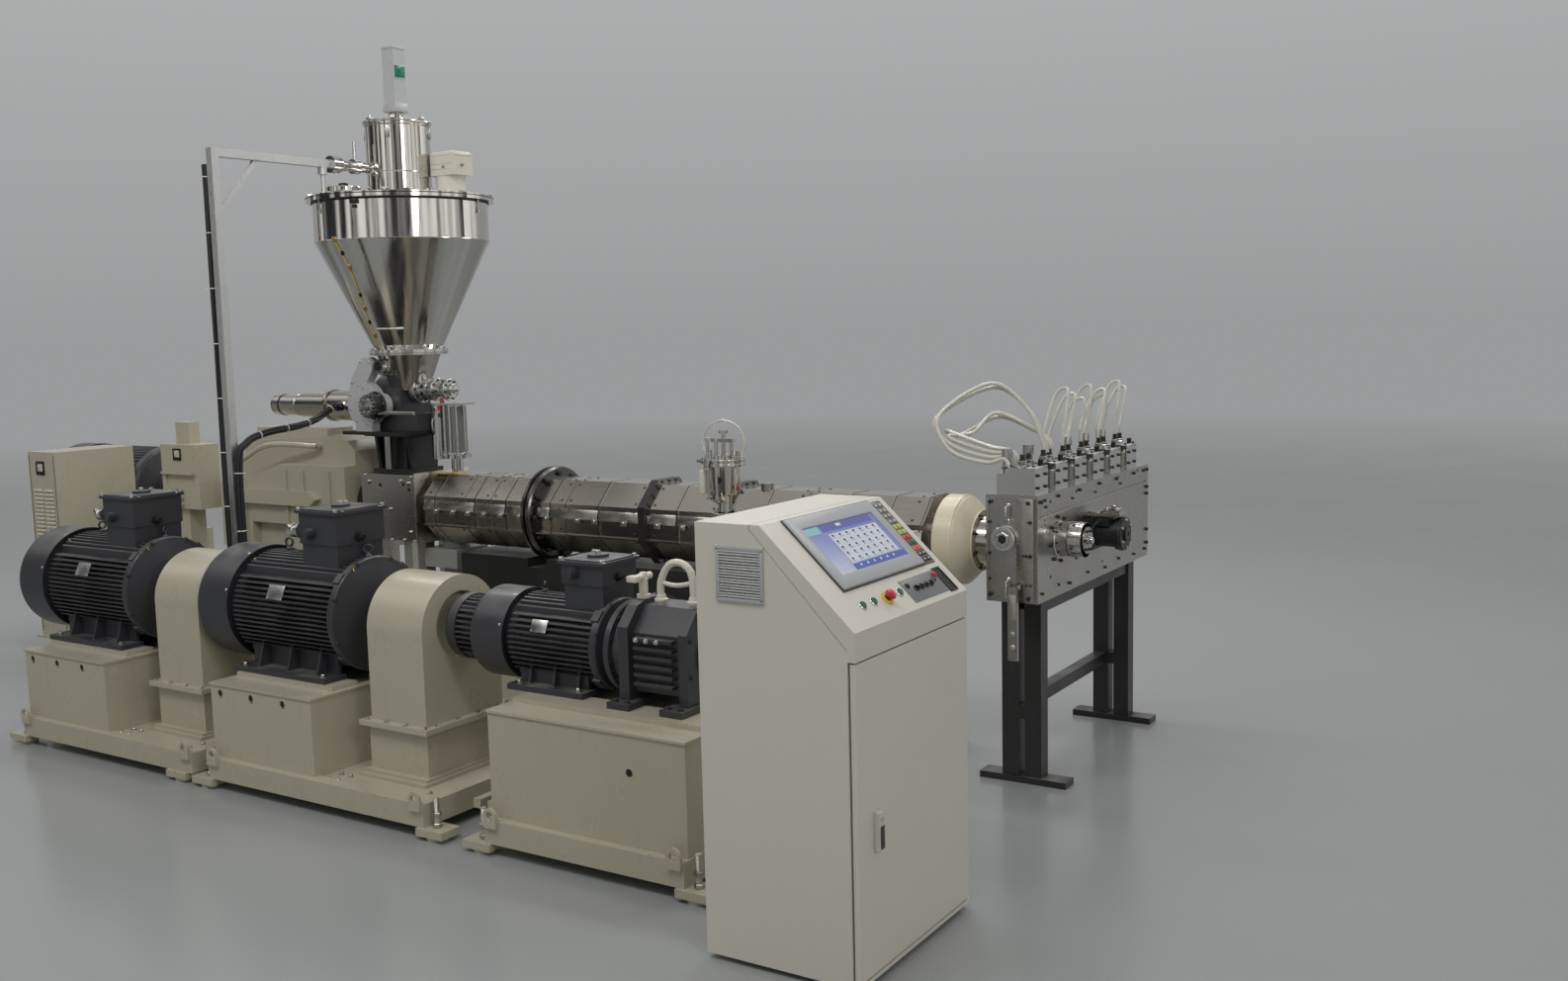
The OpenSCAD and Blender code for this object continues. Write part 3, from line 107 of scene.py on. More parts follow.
def turned(rings, sides=32, edge=0):
    # A turned piece on the Z axis; rings are height and radius, from the bottom up
    clearSelection()
    bpy.ops.mesh.primitive_circle_add(vertices=sides, radius=rings[0][1], fill_type="NGON",
                                      location=(0, 0, rings[0][0]))
    piece = bpy.context.object
    bpy.ops.object.transform_apply(location=True, rotation=True, scale=True)
    bpy.ops.object.mode_set(mode="EDIT")
    bpy.ops.mesh.select_all(action="SELECT")
    for (low, radius), (high, wide) in zip(rings, rings[1:]):
        bpy.ops.mesh.extrude_region_move(TRANSFORM_OT_translate={"value": (0, 0, high - low)})
        bpy.ops.transform.resize(value=(wide / radius, wide / radius, 1), center_override=(0, 0, 0))
    bpy.ops.mesh.select_all(action="SELECT")
    bpy.ops.mesh.remove_doubles(threshold=0.00001)
    bpy.ops.mesh.normals_make_consistent(inside=False)
    bpy.ops.object.mode_set(mode="OBJECT")
    if edge:
        softenEdges(piece, edge, 2, 40)
    return piece


def turnTo(direction):
    return Vector(up).rotation_difference(Vector(direction)).to_matrix().to_4x4()


def spinOf(degrees, axis="Z"):
    return Matrix.Rotation(math.radians(degrees), 4, axis)


def placeAt(at, direction=up, spin=0, size=1):
    return Matrix.Translation(at) @ turnTo(direction) @ spinOf(spin) @ Matrix.Scale(size, 4)


def moved(piece, place):
    piece.data.transform(place)
    return piece


def turnedAt(rings, sides, at, direction=up, spin=0):
    # A turned piece at its place, looking along a direction
    return moved(turned(rings, sides), placeAt(at, direction, spin))


def collar(thick, radius, edge):
    # Rings of a short drum with both edges taken off
    return [[0, radius - edge], [edge, radius], [thick - edge, radius], [thick, radius - edge]]


def onCircle(x, y, radius, degrees):
    angle = math.radians(degrees)
    return x + radius * math.cos(angle), y + radius * math.sin(angle)


def joined(parts):
    clearSelection()
    for part in parts:
        part.select_set(True)
    bpy.context.view_layer.objects.active = parts[0]
    if len(parts) > 1:
        bpy.ops.object.join()
    return bpy.context.view_layer.objects.active


def copiesOf(model, places):
    copies = []
    for place in places:
        copy = model.copy()
        copy.data = model.data.copy()
        copy.data.transform(place)
        bpy.context.scene.collection.objects.link(copy)
        copies.append(copy)
    bpy.data.objects.remove(model)
    return joined(copies)


def tube(points, radius, sides=12, smooth=True, closed=False):
    # A round tube along a line of points
    curve = bpy.data.curves.new("line", "CURVE")
    curve.dimensions = "3D"
    curve.bevel_depth = radius
    curve.bevel_resolution = max(1, sides // 4 - 1)
    curve.use_fill_caps = not closed
    curve.resolution_u = 6
    spline = curve.splines.new("NURBS" if smooth else "POLY")
    spline.points.add(len(points) - 1)
    for point, place in zip(spline.points, points):
        point.co = (*place, 1)
    if smooth:
        spline.order_u = 3
        spline.use_endpoint_u = not closed
    spline.use_cyclic_u = closed
    piece = bpy.data.objects.new("line", curve)
    bpy.context.scene.collection.objects.link(piece)
    makeActive(piece)
    bpy.ops.object.convert(target="MESH")
    return bpy.context.object


def settle(parts, name, finish, slot, body="plant"):
    # Joins and names a finished piece, gives it its finish and lets it ride on its body
    piece = joined(parts) if isinstance(parts, list) else parts
    piece.name = name
    piece.data.name = name
    piece.data.materials.clear()
    piece.data.materials.append(finish)
    makeActive(piece)
    bpy.ops.object.shade_smooth_by_angle(angle=math.radians(32))
    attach(piece, body)
    return piece


def fitted(model, places, name, finish, slot, body="plant"):
    # Copies of one bolt or fitting, as one piece
    return settle(copiesOf(model, places), name, finish, slot, body)


# Small tools for finishes
def newFinish(name):
    finish = bpy.data.materials.new(name)
    finish.use_nodes = True
    tree = finish.node_tree
    return finish, tree, tree.nodes["Principled BSDF"]


def feed(tree, socket, value):
    # A socket gets a number, a colour or another node's output
    if isinstance(value, bpy.types.NodeSocket):
        tree.links.new(value, socket)
    elif socket.type == "RGBA":
        socket.default_value = (*value[:3], 1)
    else:
        socket.default_value = value


def fill(tree, node, **sockets):
    for key, value in sockets.items():
        feed(tree, node.inputs[key.replace("_", " ")], value)
    return node


def addNode(tree, kind, settings=None, **sockets):
    node = tree.nodes.new(kind)
    for key, value in (settings or {}).items():
        setattr(node, key, value)
    return fill(tree, node, **sockets)


def objectPlace(tree, stretch=(1, 1, 1)):
    # The object's own coordinates, stretched along its axes
    coordinates = addNode(tree, "ShaderNodeTexCoord").outputs["Object"]
    return addNode(tree, "ShaderNodeMapping", Vector=coordinates, Scale=stretch).outputs["Vector"]


def noiseOf(tree, vector, scale, detail=3, roughness=0.5):
    return addNode(tree, "ShaderNodeTexNoise", Vector=vector, Scale=scale, Detail=detail,
                   Roughness=roughness).outputs["Fac"]


def ranged(tree, value, low, high, toLow=0.0, toHigh=1.0):
    return addNode(tree, "ShaderNodeMapRange", Value=value, From_Min=low, From_Max=high, To_Min=toLow,
                   To_Max=toHigh).outputs["Result"]


def mathOf(tree, operation, a, b):
    node = addNode(tree, "ShaderNodeMath", {"operation": operation})
    feed(tree, node.inputs[0], a)
    feed(tree, node.inputs[1], b)
    return node.outputs["Value"]


def product(tree, a, b):
    return mathOf(tree, "MULTIPLY", a, b)


def blendOf(tree, factor, a, b):
    # Mixes two colours, each a colour or a socket
    return addNode(tree, "ShaderNodeMix", {"data_type": "RGBA"}, Factor=factor, A=a, B=b).outputs["Result"]


def darker(colour, part):
    return tuple(c * part for c in colour)


def bumpOf(tree, shader, height, strength, distance=0.001):
    bump = addNode(tree, "ShaderNodeBump", Height=height, Strength=strength, Distance=distance)
    fill(tree, shader, Normal=bump.outputs["Normal"])


def axisOf(tree, axis, source="ShaderNodeTexCoord", output="Object"):
    # One of the object's own coordinates, or one of the surface's directions
    vector = addNode(tree, source).outputs[output]
    return addNode(tree, "ShaderNodeSeparateXYZ", Vector=vector).outputs[axis]


def srgb(red, green, blue):
    # A colour written in display values, from 0 to 255
    return tuple(((c / 255 + 0.055) / 1.055) ** 2.4 if c > 10 else c / 255 / 12.92
                 for c in (red, green, blue))


def paint(name, user):
    # Machine enamel: slight orange peel, uneven tone, dust on top and scuffs low down
    finish, tree, shader = newFinish(name)
    where = objectPlace(tree)
    tone = blendOf(tree, noiseOf(tree, where, 2.3, 5), darker(user["colour"], user["uneven"]), user["colour"])
    streaks = noiseOf(tree, objectPlace(tree, (9, 9, 0.9)), 1.6, 5, 0.65)
    streaked = blendOf(tree, ranged(tree, streaks, 0.56, 0.82, 0, user["streaks"]), tone, user["dirt"])
    specks = ranged(tree, noiseOf(tree, where, 41, 6, 0.7), 0.62, 0.7)
    scuffs = product(tree, specks, ranged(tree, axisOf(tree, "Z"), 0.55, 0.03))
    scuffed = blendOf(tree, product(tree, scuffs, user["scuffs"]), streaked, user["dirt"])
    upward = axisOf(tree, "Z", "ShaderNodeNewGeometry", "Normal")
    dusty = product(tree, ranged(tree, upward, 0.6, 0.98), user["dust"])
    dusty = product(tree, dusty, ranged(tree, noiseOf(tree, where, 7, 4), 0.35, 0.7))
    fill(tree, shader, Base_Color=blendOf(tree, dusty, scuffed, srgb(168, 164, 154)), Metallic=0,
         Roughness=ranged(tree, noiseOf(tree, where, 5, 4), 0.3, 0.7, user["rough"] - 0.06, user["rough"] + 0.08),
         Coat_Weight=user["coat"], Coat_Roughness=0.18)
    bumpOf(tree, shader, noiseOf(tree, where, user["peelScale"], 3), user["peel"], 0.0008)
    return finish


def steelSheet(name, user):
    # Stainless sheet: brushed one way, with heat tint and handling marks
    finish, tree, shader = newFinish(name)
    brushed = noiseOf(tree, objectPlace(tree, user["brush"]), user["brushScale"], 4, 0.6)
    marks = noiseOf(tree, objectPlace(tree), 3, 2, 0.5)
    tone = blendOf(tree, ranged(tree, brushed, 0.3, 0.7), darker(user["colour"], 0.9), user["colour"])
    tinted = blendOf(tree, ranged(tree, marks, 0.5, 0.75, 0, user["tint"]), tone, user["tintColour"])
    gloss = ranged(tree, brushed, 0.3, 0.7, user["rough"] - 0.03, user["rough"] + 0.05)
    fill(tree, shader, Base_Color=tinted, Metallic=1,
         Roughness=mathOf(tree, "ADD", gloss, ranged(tree, marks, 0.4, 0.8, 0, user["smear"])))
    bumpOf(tree, shader, brushed, user["relief"], 0.0004)
    return finish


def plainFinish(name, colour, rough, grainScale, metal=0):
    # Rubber, plastic or oiled parts: one colour with fine grain
    finish, tree, shader = newFinish(name)
    grain = noiseOf(tree, objectPlace(tree), grainScale, 4)
    fill(tree, shader, Base_Color=blendOf(tree, grain, darker(colour, 0.82), colour), Metallic=metal,
         Roughness=ranged(tree, grain, 0.3, 0.7, rough - 0.05, rough + 0.05))
    bumpOf(tree, shader, grain, 0.1, 0.0004)
    return finish


def splitFinish(name, base, other, *regions):
    # Two finishes on one casting: the other one fills boxes given as an axis and its span
    finish, tree, shader = newFinish(name)
    tree.nodes.remove(shader)
    soft = 0.0005
    outside = None
    for region in regions:
        inside = None
        for axis, (low, high) in region.items():
            place = axisOf(tree, axis)
            band = product(tree, ranged(tree, place, low - soft, low + soft),
                           ranged(tree, place, high + soft, high - soft))
            inside = band if inside is None else product(tree, inside, band)
        rest = mathOf(tree, "SUBTRACT", 1.0, inside)
        outside = rest if outside is None else product(tree, outside, rest)
    mix = addNode(tree, "ShaderNodeMixShader", Fac=mathOf(tree, "SUBTRACT", 1.0, outside))
    for socket, (colour, rough, metal, grainScale, brush) in ((1, base), (2, other)):
        grain = noiseOf(tree, objectPlace(tree, brush), grainScale, 4)
        part = addNode(tree, "ShaderNodeBsdfPrincipled", Metallic=metal,
                       Base_Color=blendOf(tree, grain, darker(colour, 0.88), colour),
                       Roughness=ranged(tree, grain, 0.3, 0.7, rough - 0.04, rough + 0.06))
        bumpOf(tree, part, grain, 0.06, 0.0004)
        tree.links.new(part.outputs["BSDF"], mix.inputs[socket])
    tree.links.new(mix.outputs["Shader"], tree.nodes["Material Output"].inputs["Surface"])
    return finish


paintKeys = ("colour", "uneven", "streaks", "dirt", "scuffs", "dust", "rough", "coat", "peel", "peelScale")
paintUser = {
    "beigePaint": (srgb(179, 173, 153), 0.93, 0.22, srgb(128, 118, 98), 0.1, 0.2, 0.3, 0.3, 0.12, 260),
    "consolePaint": (srgb(205, 201, 190), 0.97, 0.05, srgb(150, 146, 134), 0.15, 0.0, 0.42, 0.12, 0.16, 620),
    "motorPaint": (srgb(54, 55, 60), 0.82, 0.12, srgb(92, 88, 80), 0.2, 0.35, 0.4, 0.15, 0.3, 170),
    "greyPaint": (srgb(150, 150, 146), 0.9, 0.12, srgb(96, 92, 84), 0.2, 0.3, 0.4, 0.15, 0.22, 190),
    "blackPaint": (srgb(36, 36, 37), 0.8, 0.1, srgb(80, 76, 70), 0.2, 0.35, 0.42, 0.1, 0.2, 220),
    "creamPaint": (srgb(216, 208, 182), 0.94, 0.15, srgb(150, 136, 104), 0.2, 0.2, 0.33, 0.3, 0.1, 240),
}
steelKeys = ("colour", "brush", "brushScale", "tint", "tintColour", "rough", "smear", "relief")
steelUser = {
    "barrelSteel": ((0.5, 0.475, 0.44), (0.5, 12, 12), 22, 0.15, (0.46, 0.4, 0.34), 0.22, 0.08, 0.006),
    "polishedSteel": ((0.66, 0.64, 0.61), (7, 7, 0.5), 12, 0.12, (0.55, 0.5, 0.44), 0.09, 0.06, 0.03),
    "toolSteel": ((0.44, 0.43, 0.415), (1, 0.5, 9), 30, 0.3, (0.34, 0.31, 0.27), 0.25, 0.12, 0.02),
}
beige, consolePaint, motorPaint, greyPaint, blackPaint, cream = [
    paint(name, dict(zip(paintKeys, row))) for name, row in paintUser.items()]
barrelSteel, polished, toolSteel = [steelSheet(name, dict(zip(steelKeys, row))) for name, row in steelUser.items()]

# Plain finishes: colour, roughness, scale of the grain and metal
zinc = plainFinish("zincBolts", (0.5, 0.49, 0.46), 0.32, 90, 1)
darkBolts = plainFinish("darkBolts", (0.06, 0.06, 0.06), 0.4, 90, 0.6)
rubber = plainFinish("rubberBlack", srgb(30, 30, 31), 0.55, 60)
nylon = plainFinish("whiteNylon", srgb(222, 220, 210), 0.4, 120)
offWhite = plainFinish("offWhitePlastic", srgb(216, 212, 198), 0.35, 40)
blackPlastic = plainFinish("blackPlastic", srgb(24, 24, 26), 0.35, 160)
brass = plainFinish("brass", (0.62, 0.42, 0.16), 0.3, 90, 1)
postMetal = plainFinish("postMetal", (0.74, 0.74, 0.73), 0.44, 40, 1)
plateSteel = plainFinish("plateSteel", (0.66, 0.66, 0.64), 0.3, 20, 1)
clampSteel = plainFinish("clampSteel", (0.16, 0.155, 0.15), 0.24, 60, 1)
bezelGrey = plainFinish("bezelGrey", srgb(170, 171, 174), 0.38, 300)
gasketGrey = plainFinish("gasketGrey", srgb(66, 67, 68), 0.5, 200)
keyGrey = plainFinish("keyPlateGrey", srgb(128, 132, 131), 0.4, 240, 0.3)
stripBrown = plainFinish("stripBrown", srgb(104, 96, 88), 0.42, 200)
buttonGreen = plainFinish("buttonGreen", srgb(22, 84, 66), 0.3, 90)
buttonRed = plainFinish("buttonRed", srgb(196, 36, 44), 0.34, 90)
stopYellow = plainFinish("stopYellow", srgb(226, 190, 34), 0.36, 90)
limeKeys = plainFinish("limeKeys", srgb(176, 190, 74), 0.4, 90)
orangeKeys = plainFinish("orangeKeys", srgb(222, 92, 48), 0.4, 90)
whiteMarks = plainFinish("whiteMarks", srgb(226, 228, 228), 0.4, 90)
screenViolet = plainFinish("screenViolet", srgb(112, 112, 182), 0.15, 9)
screenCyan = plainFinish("screenCyan", srgb(150, 204, 206), 0.15, 9)
screenWhite = plainFinish("screenWhite", srgb(216, 221, 232), 0.15, 9)
screenInk = plainFinish("screenInk", srgb(74, 78, 92), 0.2, 9)
screenBlue = plainFinish("screenBlue", srgb(96, 112, 190), 0.15, 9)
windowGreen = plainFinish("windowGreen", srgb(24, 122, 92), 0.12, 30)
yellowPlastic = plainFinish("yellowPlastic", srgb(216, 178, 44), 0.4, 60)
redPlastic = plainFinish("redPlastic", srgb(186, 52, 34), 0.4, 60)
bluePlastic = plainFinish("bluePlastic", srgb(46, 78, 138), 0.4, 60)
clearHose = plainFinish("clearHose", srgb(206, 204, 194), 0.22, 30)
controlGrey = plainFinish("controlGrey", srgb(176, 178, 177), 0.34, 60)
# Near-black: black parts such as needles and tags, and thin discs set in holes as their painted shade
blackAndHoleShade = plainFinish("blackAndHoleShade", srgb(20, 20, 20), 0.6, 120)
# Paler than the cabinet's beige though the hoods carry the same paint: painted highlight of the light on them
louvreHighlightPaint = plainFinish("louvreHighlightPaint", srgb(203, 197, 178), 0.34, 200)
grilleGrey = plainFinish("grilleGrey", srgb(176, 180, 180), 0.35, 90)

# Halves of the split finishes: colour, roughness, metal, scale of the grain and its stretch
even = (1, 1, 1)
steelPart = ((0.5, 0.475, 0.44), 0.2, 1, 30, (0.5, 12, 12))
mirrorPart = ((0.66, 0.64, 0.61), 0.12, 1, 10, (7, 7, 0.5))
blackPart = (srgb(34, 34, 35), 0.4, 0, 60, even)
greyPart = (srgb(186, 188, 188), 0.3, 0, 60, even)
beigePart = (srgb(179, 173, 153), 0.32, 0, 30, even)
# Dark grey of the feeder's housing; on the feeder body it also stands in for shade as painted shade
housingAndShadePart = (srgb(62, 63, 64), 0.42, 0, 40, even)
glassPart = ((0.2, 0.205, 0.19), 0.06, 0, 40, even)
creamPart = (srgb(216, 208, 182), 0.34, 0, 30, even)
valvePart = ((0.6, 0.6, 0.59), *steelPart[1:])
finishUser = {
    "gearbox": splitFinish("gearboxPaint", beigePart, blackPart, {"X": (-0.8045, -0.6)}),
    "barrel_cover_front": splitFinish("barrelAndRings", steelPart, blackPart,
                                      {"X": (1.3999, 1.4461)}, {"X": (1.8999, 1.9461)}),
    "feeder_stand": splitFinish("standParts", blackPart, steelPart,
                                {"X": (-0.5505, -0.5045), "Y": (0.3795, 0.4025), "Z": (1.31, 1.5095)}),
    # The dark grey boxes cover the housing, and also the cone's lower part and the part right of it as painted shade
    "feeder_body": splitFinish("feederParts", steelPart, housingAndShadePart, {"X": (-0.7, -0.4295), "Z": (1.5, 1.8725)},
                               {"X": (-0.44, -0.29), "Z": (1.5, 1.6405)}),
    "feeder_gear_case": splitFinish("gearCase", steelPart, greyPart, {"Y": (0.319, 0.3805)}),
    "dosing_pot": splitFinish("dosingParts", mirrorPart, glassPart, {"X": (-0.1645, -0.0515), "Z": (1.4003, 1.6937)}),
    "vacuum_loader": splitFinish("loaderParts", mirrorPart, greyPart, {"Z": (3.4, 3.9)}),
    "adaptor": splitFinish("adaptorParts", creamPart, steelPart, {"X": (3.2682, 3.3499)}),
    "die_valves": splitFinish("valveParts", valvePart, blackPart, {"Z": (1.4895, 1.6), "X": (3.5, 3.7)}),
    "die_motor": splitFinish("dieMotorParts", blackPart, steelPart, {"Z": (1.1775, 1.25)}),
}
for finish, names in (
        (beige, "drive_skid_left drive_skid_middle drive_skid_right coupling_guard_left coupling_guard_middle "
                "extruder_base louvred_cabinet gauge_box gearbox_conduits"),
        (motorPaint, "motor_left motor_middle motor_right fan_cowl_left fan_cowl_middle fan_cowl_right fan_motor "
                     "terminal_box_left terminal_box_middle terminal_box_right vacuum_pump main_motor"),
        (barrelSteel, "feed_housing barrel_cover_rear"), (offWhite, "pump_manifold loader_blower"),
        (polished, "vent_pot hopper_shell hopper_lid hopper_hatch"), (blackPaint, "wiring_box die_stand"),
        (clampSteel, "clamp_ring"), (greyPaint, "barrel_support"), (postMetal, "cable_post"),
        (rubber, "cable_bundle"), (toolSteel, "die_block"), (blackPlastic, "touch_screen"),
        (consolePaint, "console_body console_desk console_door")):
    finishUser.update({name: finish for name in names.split()})
for name, finish in finishUser.items():
    nodes[name].data.materials.clear()
    nodes[name].data.materials.append(finish)
print("plant finished in", len(finishUser), "pieces")

# Bolts: a hexagon head on a washer, a socket head and a small panel screw, copied to their places
boltUser = {
    "head": 0.0098, "height": 0.0078, "washer": 0.0125, "washerT": 0.0025, "socketR": 0.0092, "socketH": 0.012,
    "hexR": 0.0048, "hexDeep": 0.006, "screwR": 0.0062, "screwH": 0.0032,
}


def hexBolt(user=boltUser):
    thick, wide, head = user["washerT"], user["washer"], user["head"]
    top = thick + user["height"]
    return joined([turned([[0, wide], [thick * 0.7, wide], [thick, wide * 0.93]], 18),
                   turned([[thick * 0.9, head], [top - 0.0015, head], [top, head * 0.86]], 6)])


def socketBolt(user=boltUser):
    radius, high, rim = user["socketR"], user["socketH"], user["socketR"] * 0.92
    return recessed(turned([[0, radius], [high - 0.001, radius], [high, rim]], 18),
                    lambda face: face.normal.z > 0.9 and face.center.z > high * 0.9,
                    [(rim - user["hexR"], 0)], (0, 0, -user["hexDeep"]))


def panelScrew(user=boltUser):
    radius, high = user["screwR"], user["screwH"]
    return turned([[0, radius], [high * 0.4, radius], [high * 0.8, radius * 0.75], [high, radius * 0.3]], 10)


def ringPlaces(centre, axis, radius, count, start=0, size=1):
    # Places on a circle, each looking along the axis
    turn = turnTo(axis).to_3x3()
    return [placeAt(Vector(centre) + turn @ Vector((*onCircle(0, 0, radius, start + 360 * k / count), 0)),
                    axis, 17 * k, size) for k in range(count)]


def aroundX(degrees):
    # A direction square to the barrel, at an angle from Y towards Z
    return Vector((0, *onCircle(0, 0, 1, degrees)))


def spread(low, high, count):
    return [low + (high - low) * k / (count - 1) for k in range(count)]


# Drive row: for each motor its start, length, half width and height of the feet, then radius, place and size of
# the end shield's bolts, then radius and size of the cowl's screws
rowUser = {
    "flangeZ": 0.395, "flangeRim": 0.02, "cowlAngles": (20, 65, 115, 160, 245, 295),
    "left": (-1.39, 0.64, 0.274, 0.549, 0.262, -0.686, 1.0, 0.2778, 1.3),
    "middle": (0.16, 0.64, 0.274, 0.549, 0.262, 0.864, 1.0, 0.2778, 1.3),
    "right": (1.86, 0.41, 0.198, 0.639, 0.186, 2.334, 0.8, 0.1978, 1.1),
}
motorSides = ("left", "middle", "right")


def rowBolts(user):
    guards, feet, shields, cowls = [], [], [], []
    rim, z = user["flangeRim"], user["flangeZ"]
    for node in ("coupling_guard_left", "coupling_guard_middle"):
        low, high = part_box(node)
        guards += [placeAt((x, y, z), spin=31 * x) for y in (low.y + rim, high.y - rim)
                   for x in spread(low.x + 0.03, high.x - 0.03, 4)]
        guards += [placeAt((x, y, z), spin=31 * y) for x in (low.x + rim, high.x - rim)
                   for y in spread(low.y + 0.09, high.y - 0.09, 4)]
    for side in motorSides:
        start, length, half, footZ, shieldR, shieldX, shieldSize, cowlR, cowlSize = user[side]
        feet += [placeAt((x, rowY + end * (half - 0.034), footZ), size=1.25, spin=20 * x)
                 for x in (start + 0.045, start + length - 0.045) for end in mirror]
        shields += ringPlaces((shieldX, rowY, shaftZ), toDie, shieldR, 8, 22.5, shieldSize)
        low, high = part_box("fan_cowl_" + side)
        for out in map(aroundX, user["cowlAngles"]):
            cowls.append(placeAt(Vector((high.x - 0.03, rowY, shaftZ)) + out * cowlR, out, size=cowlSize))
        low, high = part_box("terminal_box_" + side)
        cowls += [placeAt((x + 0.012, rowY + y, high.z - 0.018), size=1.2)
                  for x in (low.x + 0.014, high.x - 0.014) for y in (-0.11, 0.11)]
    fitted(hexBolt(), guards, "guard_bolts", zinc, "tool_steel")
    fitted(hexBolt(), feet, "motor_foot_bolts", zinc, "tool_steel")
    fitted(hexBolt(), shields, "shield_bolts", darkBolts, "motor_paint")
    fitted(panelScrew(), cowls, "cowl_screws", zinc, "motor_paint")


rowBolts(rowUser)

# Levelling screws: lock nuts on every pad of the skids, and top nuts and thread where the screws stand free
padUser = {"nutR": 0.021, "nutH": 0.018, "padY": (-1.43, -0.57), "heldX": -0.05, "freeX": (-1.4, 0.15, 1.65, 1.92, 3.0)}


def levelling(user):
    radius, high = user["nutR"], user["nutH"]
    nut = turned([[0, radius * 0.9], [0.002, radius], [high - 0.002, radius], [high, radius * 0.9]], 6)
    nuts = [placeAt((user["heldX"], y, 0.0505), spin=40 * user["heldX"]) for y in user["padY"]]
    turns = []
    for x in user["freeX"]:
        for y in user["padY"]:
            nuts += [placeAt((x, y, 0.0505), spin=40 * x), placeAt((x, y, 0.098), spin=15 + 40 * x)]
            turns += [placeAt((x, y, 0.118 + 0.0034 * k)) for k in range(17)]
    fitted(nut, nuts, "levelling_nuts", zinc, "tool_steel")
    thread = turned([[0, 0.0122], [0.0012, 0.0132], [0.0024, 0.0122]], 14)
    fitted(thread, turns, "levelling_threads", zinc, "tool_steel")


levelling(padUser)

# Barrel covers: panel screws along the seams, and thin straps with a rolled edge across the joints
barrelUser = {
    "rows": (-0.15, 0.1, 0.3, 0.36, 0.565, 0.72, 0.85, 0.915, 1.36, 1.485, 1.86, 1.985, 2.345, 2.41, 2.985),
    "across": (-0.055, 0.055), "flat": 0.2003,
    "straps": (-0.1, 0.215, 0.452, 0.78, 1.12, 1.64, 2.17, 2.62, 2.86), "strapThick": 0.014, "strapR": 0.2176,
}


def barrelSeams(user):
    places = []
    for x in user["rows"]:
        for out in [aroundX(45 * k) for k in range(8)]:
            along = Vector((0, -out.z, out.y))
            places += [placeAt(Vector((x, screwY, screwZ)) + out * user["flat"] + along * side, out, size=1.15)
                       for side in user["across"]]
    fitted(panelScrew(), places, "barrel_screws", darkBolts, "barrel_steel")
    thick, radius = user["strapThick"], user["strapR"]
    rings = [[0, radius - 0.0004], [0.0015, radius], [thick - 0.0015, radius], [thick, radius - 0.0004]]
    settle([turnedAt(rings, 8, (x, screwY, screwZ), toDie, 22.5) for x in user["straps"]], "barrel_straps",
           barrelSteel, "barrel_steel")


barrelSeams(barrelUser)

# Hopper: bolts round the rim and the bottom flange, weld lines and the loader's over-centre latches
hopperUser = {
    "bolts": ((2.908, 0.514, 27, 13.3, 1.0), (2.021, 0.213, 12, 15, 1.0), (3.346, 0.184, 10, 9, 0.8),
              (2.922, 0.1925, 12, 5, 0.65)),
    "shellR": 0.5035, "coneLow": (0.1968, 2.024), "coneTop": 2.65, "weldTop": 2.876, "beadR": 0.0022,
}


def facingOut(radius, degrees, z):
    # A place on a round wall of the hopper, with X pointing outwards
    return Matrix.Translation((*onCircle(hopperX, screwY, radius, degrees), z)) @ spinOf(degrees)


def onAxis(rings, sides):
    return turnedAt(rings, sides, (hopperX, screwY, 0))


def hopperSeams(user):
    bolts = []
    for z, radius, count, start, size in user["bolts"]:
        bolts += ringPlaces((hopperX, screwY, z), up, radius, count, start, size)
    fitted(hexBolt(), bolts, "hopper_bolts", plateSteel, "polished_steel")
    line = (user["coneLow"], (user["shellR"], user["coneTop"]), (user["shellR"], user["weldTop"]))
    welds = [tube([(*onCircle(hopperX, screwY, r, degrees), z) for r, z in line], user["beadR"], 8, smooth=False)
             for degrees in (-58, 122)]
    ring = [(*onCircle(hopperX, screwY, user["shellR"], 6 * k), user["coneTop"]) for k in range(60)]
    welds.append(tube(ring, user["beadR"] * 1.2, 8, smooth=False, closed=True))
    settle(welds, "hopper_welds", polished, "polished_steel")
    latch = joined([block((-0.012, -0.002, -0.045), (0.012, 0.002, 0.012), 0.0008),
                    block((-0.009, 0.006, -0.04), (0.009, 0.0095, 0.02), 0.0012),
                    turnedAt([[-0.012, 0.004], [0.012, 0.004]], 12, (0, 0.0055, -0.004), toDie),
                    block((-0.005, 0.002, 0.01), (0.005, 0.007, 0.05), 0.001)])
    fitted(latch, [facingOut(0.1885, 30 + 90 * k, 3.285) @ spinOf(-90) for k in range(4)], "loader_latches",
           plateSteel, "polished_steel")


hopperSeams(hopperUser)
print("bolts and seams placed")

# Console: the desk's own frame, with x down the slope, y along the console and z out of it
deskSlope = math.atan2(plant["consoleH"] - plant["deskZ"], plant["consoleD"] - plant["topD"])
deskFrame = (Matrix.Translation((plant["consoleX"] + plant["topD"], plant["consoleY"], plant["consoleH"]))
             @ Matrix.Rotation(deskSlope, 4, "Y"))
screenUser = {
    "bezel": [(0.008, 0.125), (0.315, 0.69)], "thick": 0.012, "frame": 0.051, "deep": 0.0035,
    "panel": [(0.103, 0.29), (0.232, 0.612)], "rows": 5, "columns": 7,
}


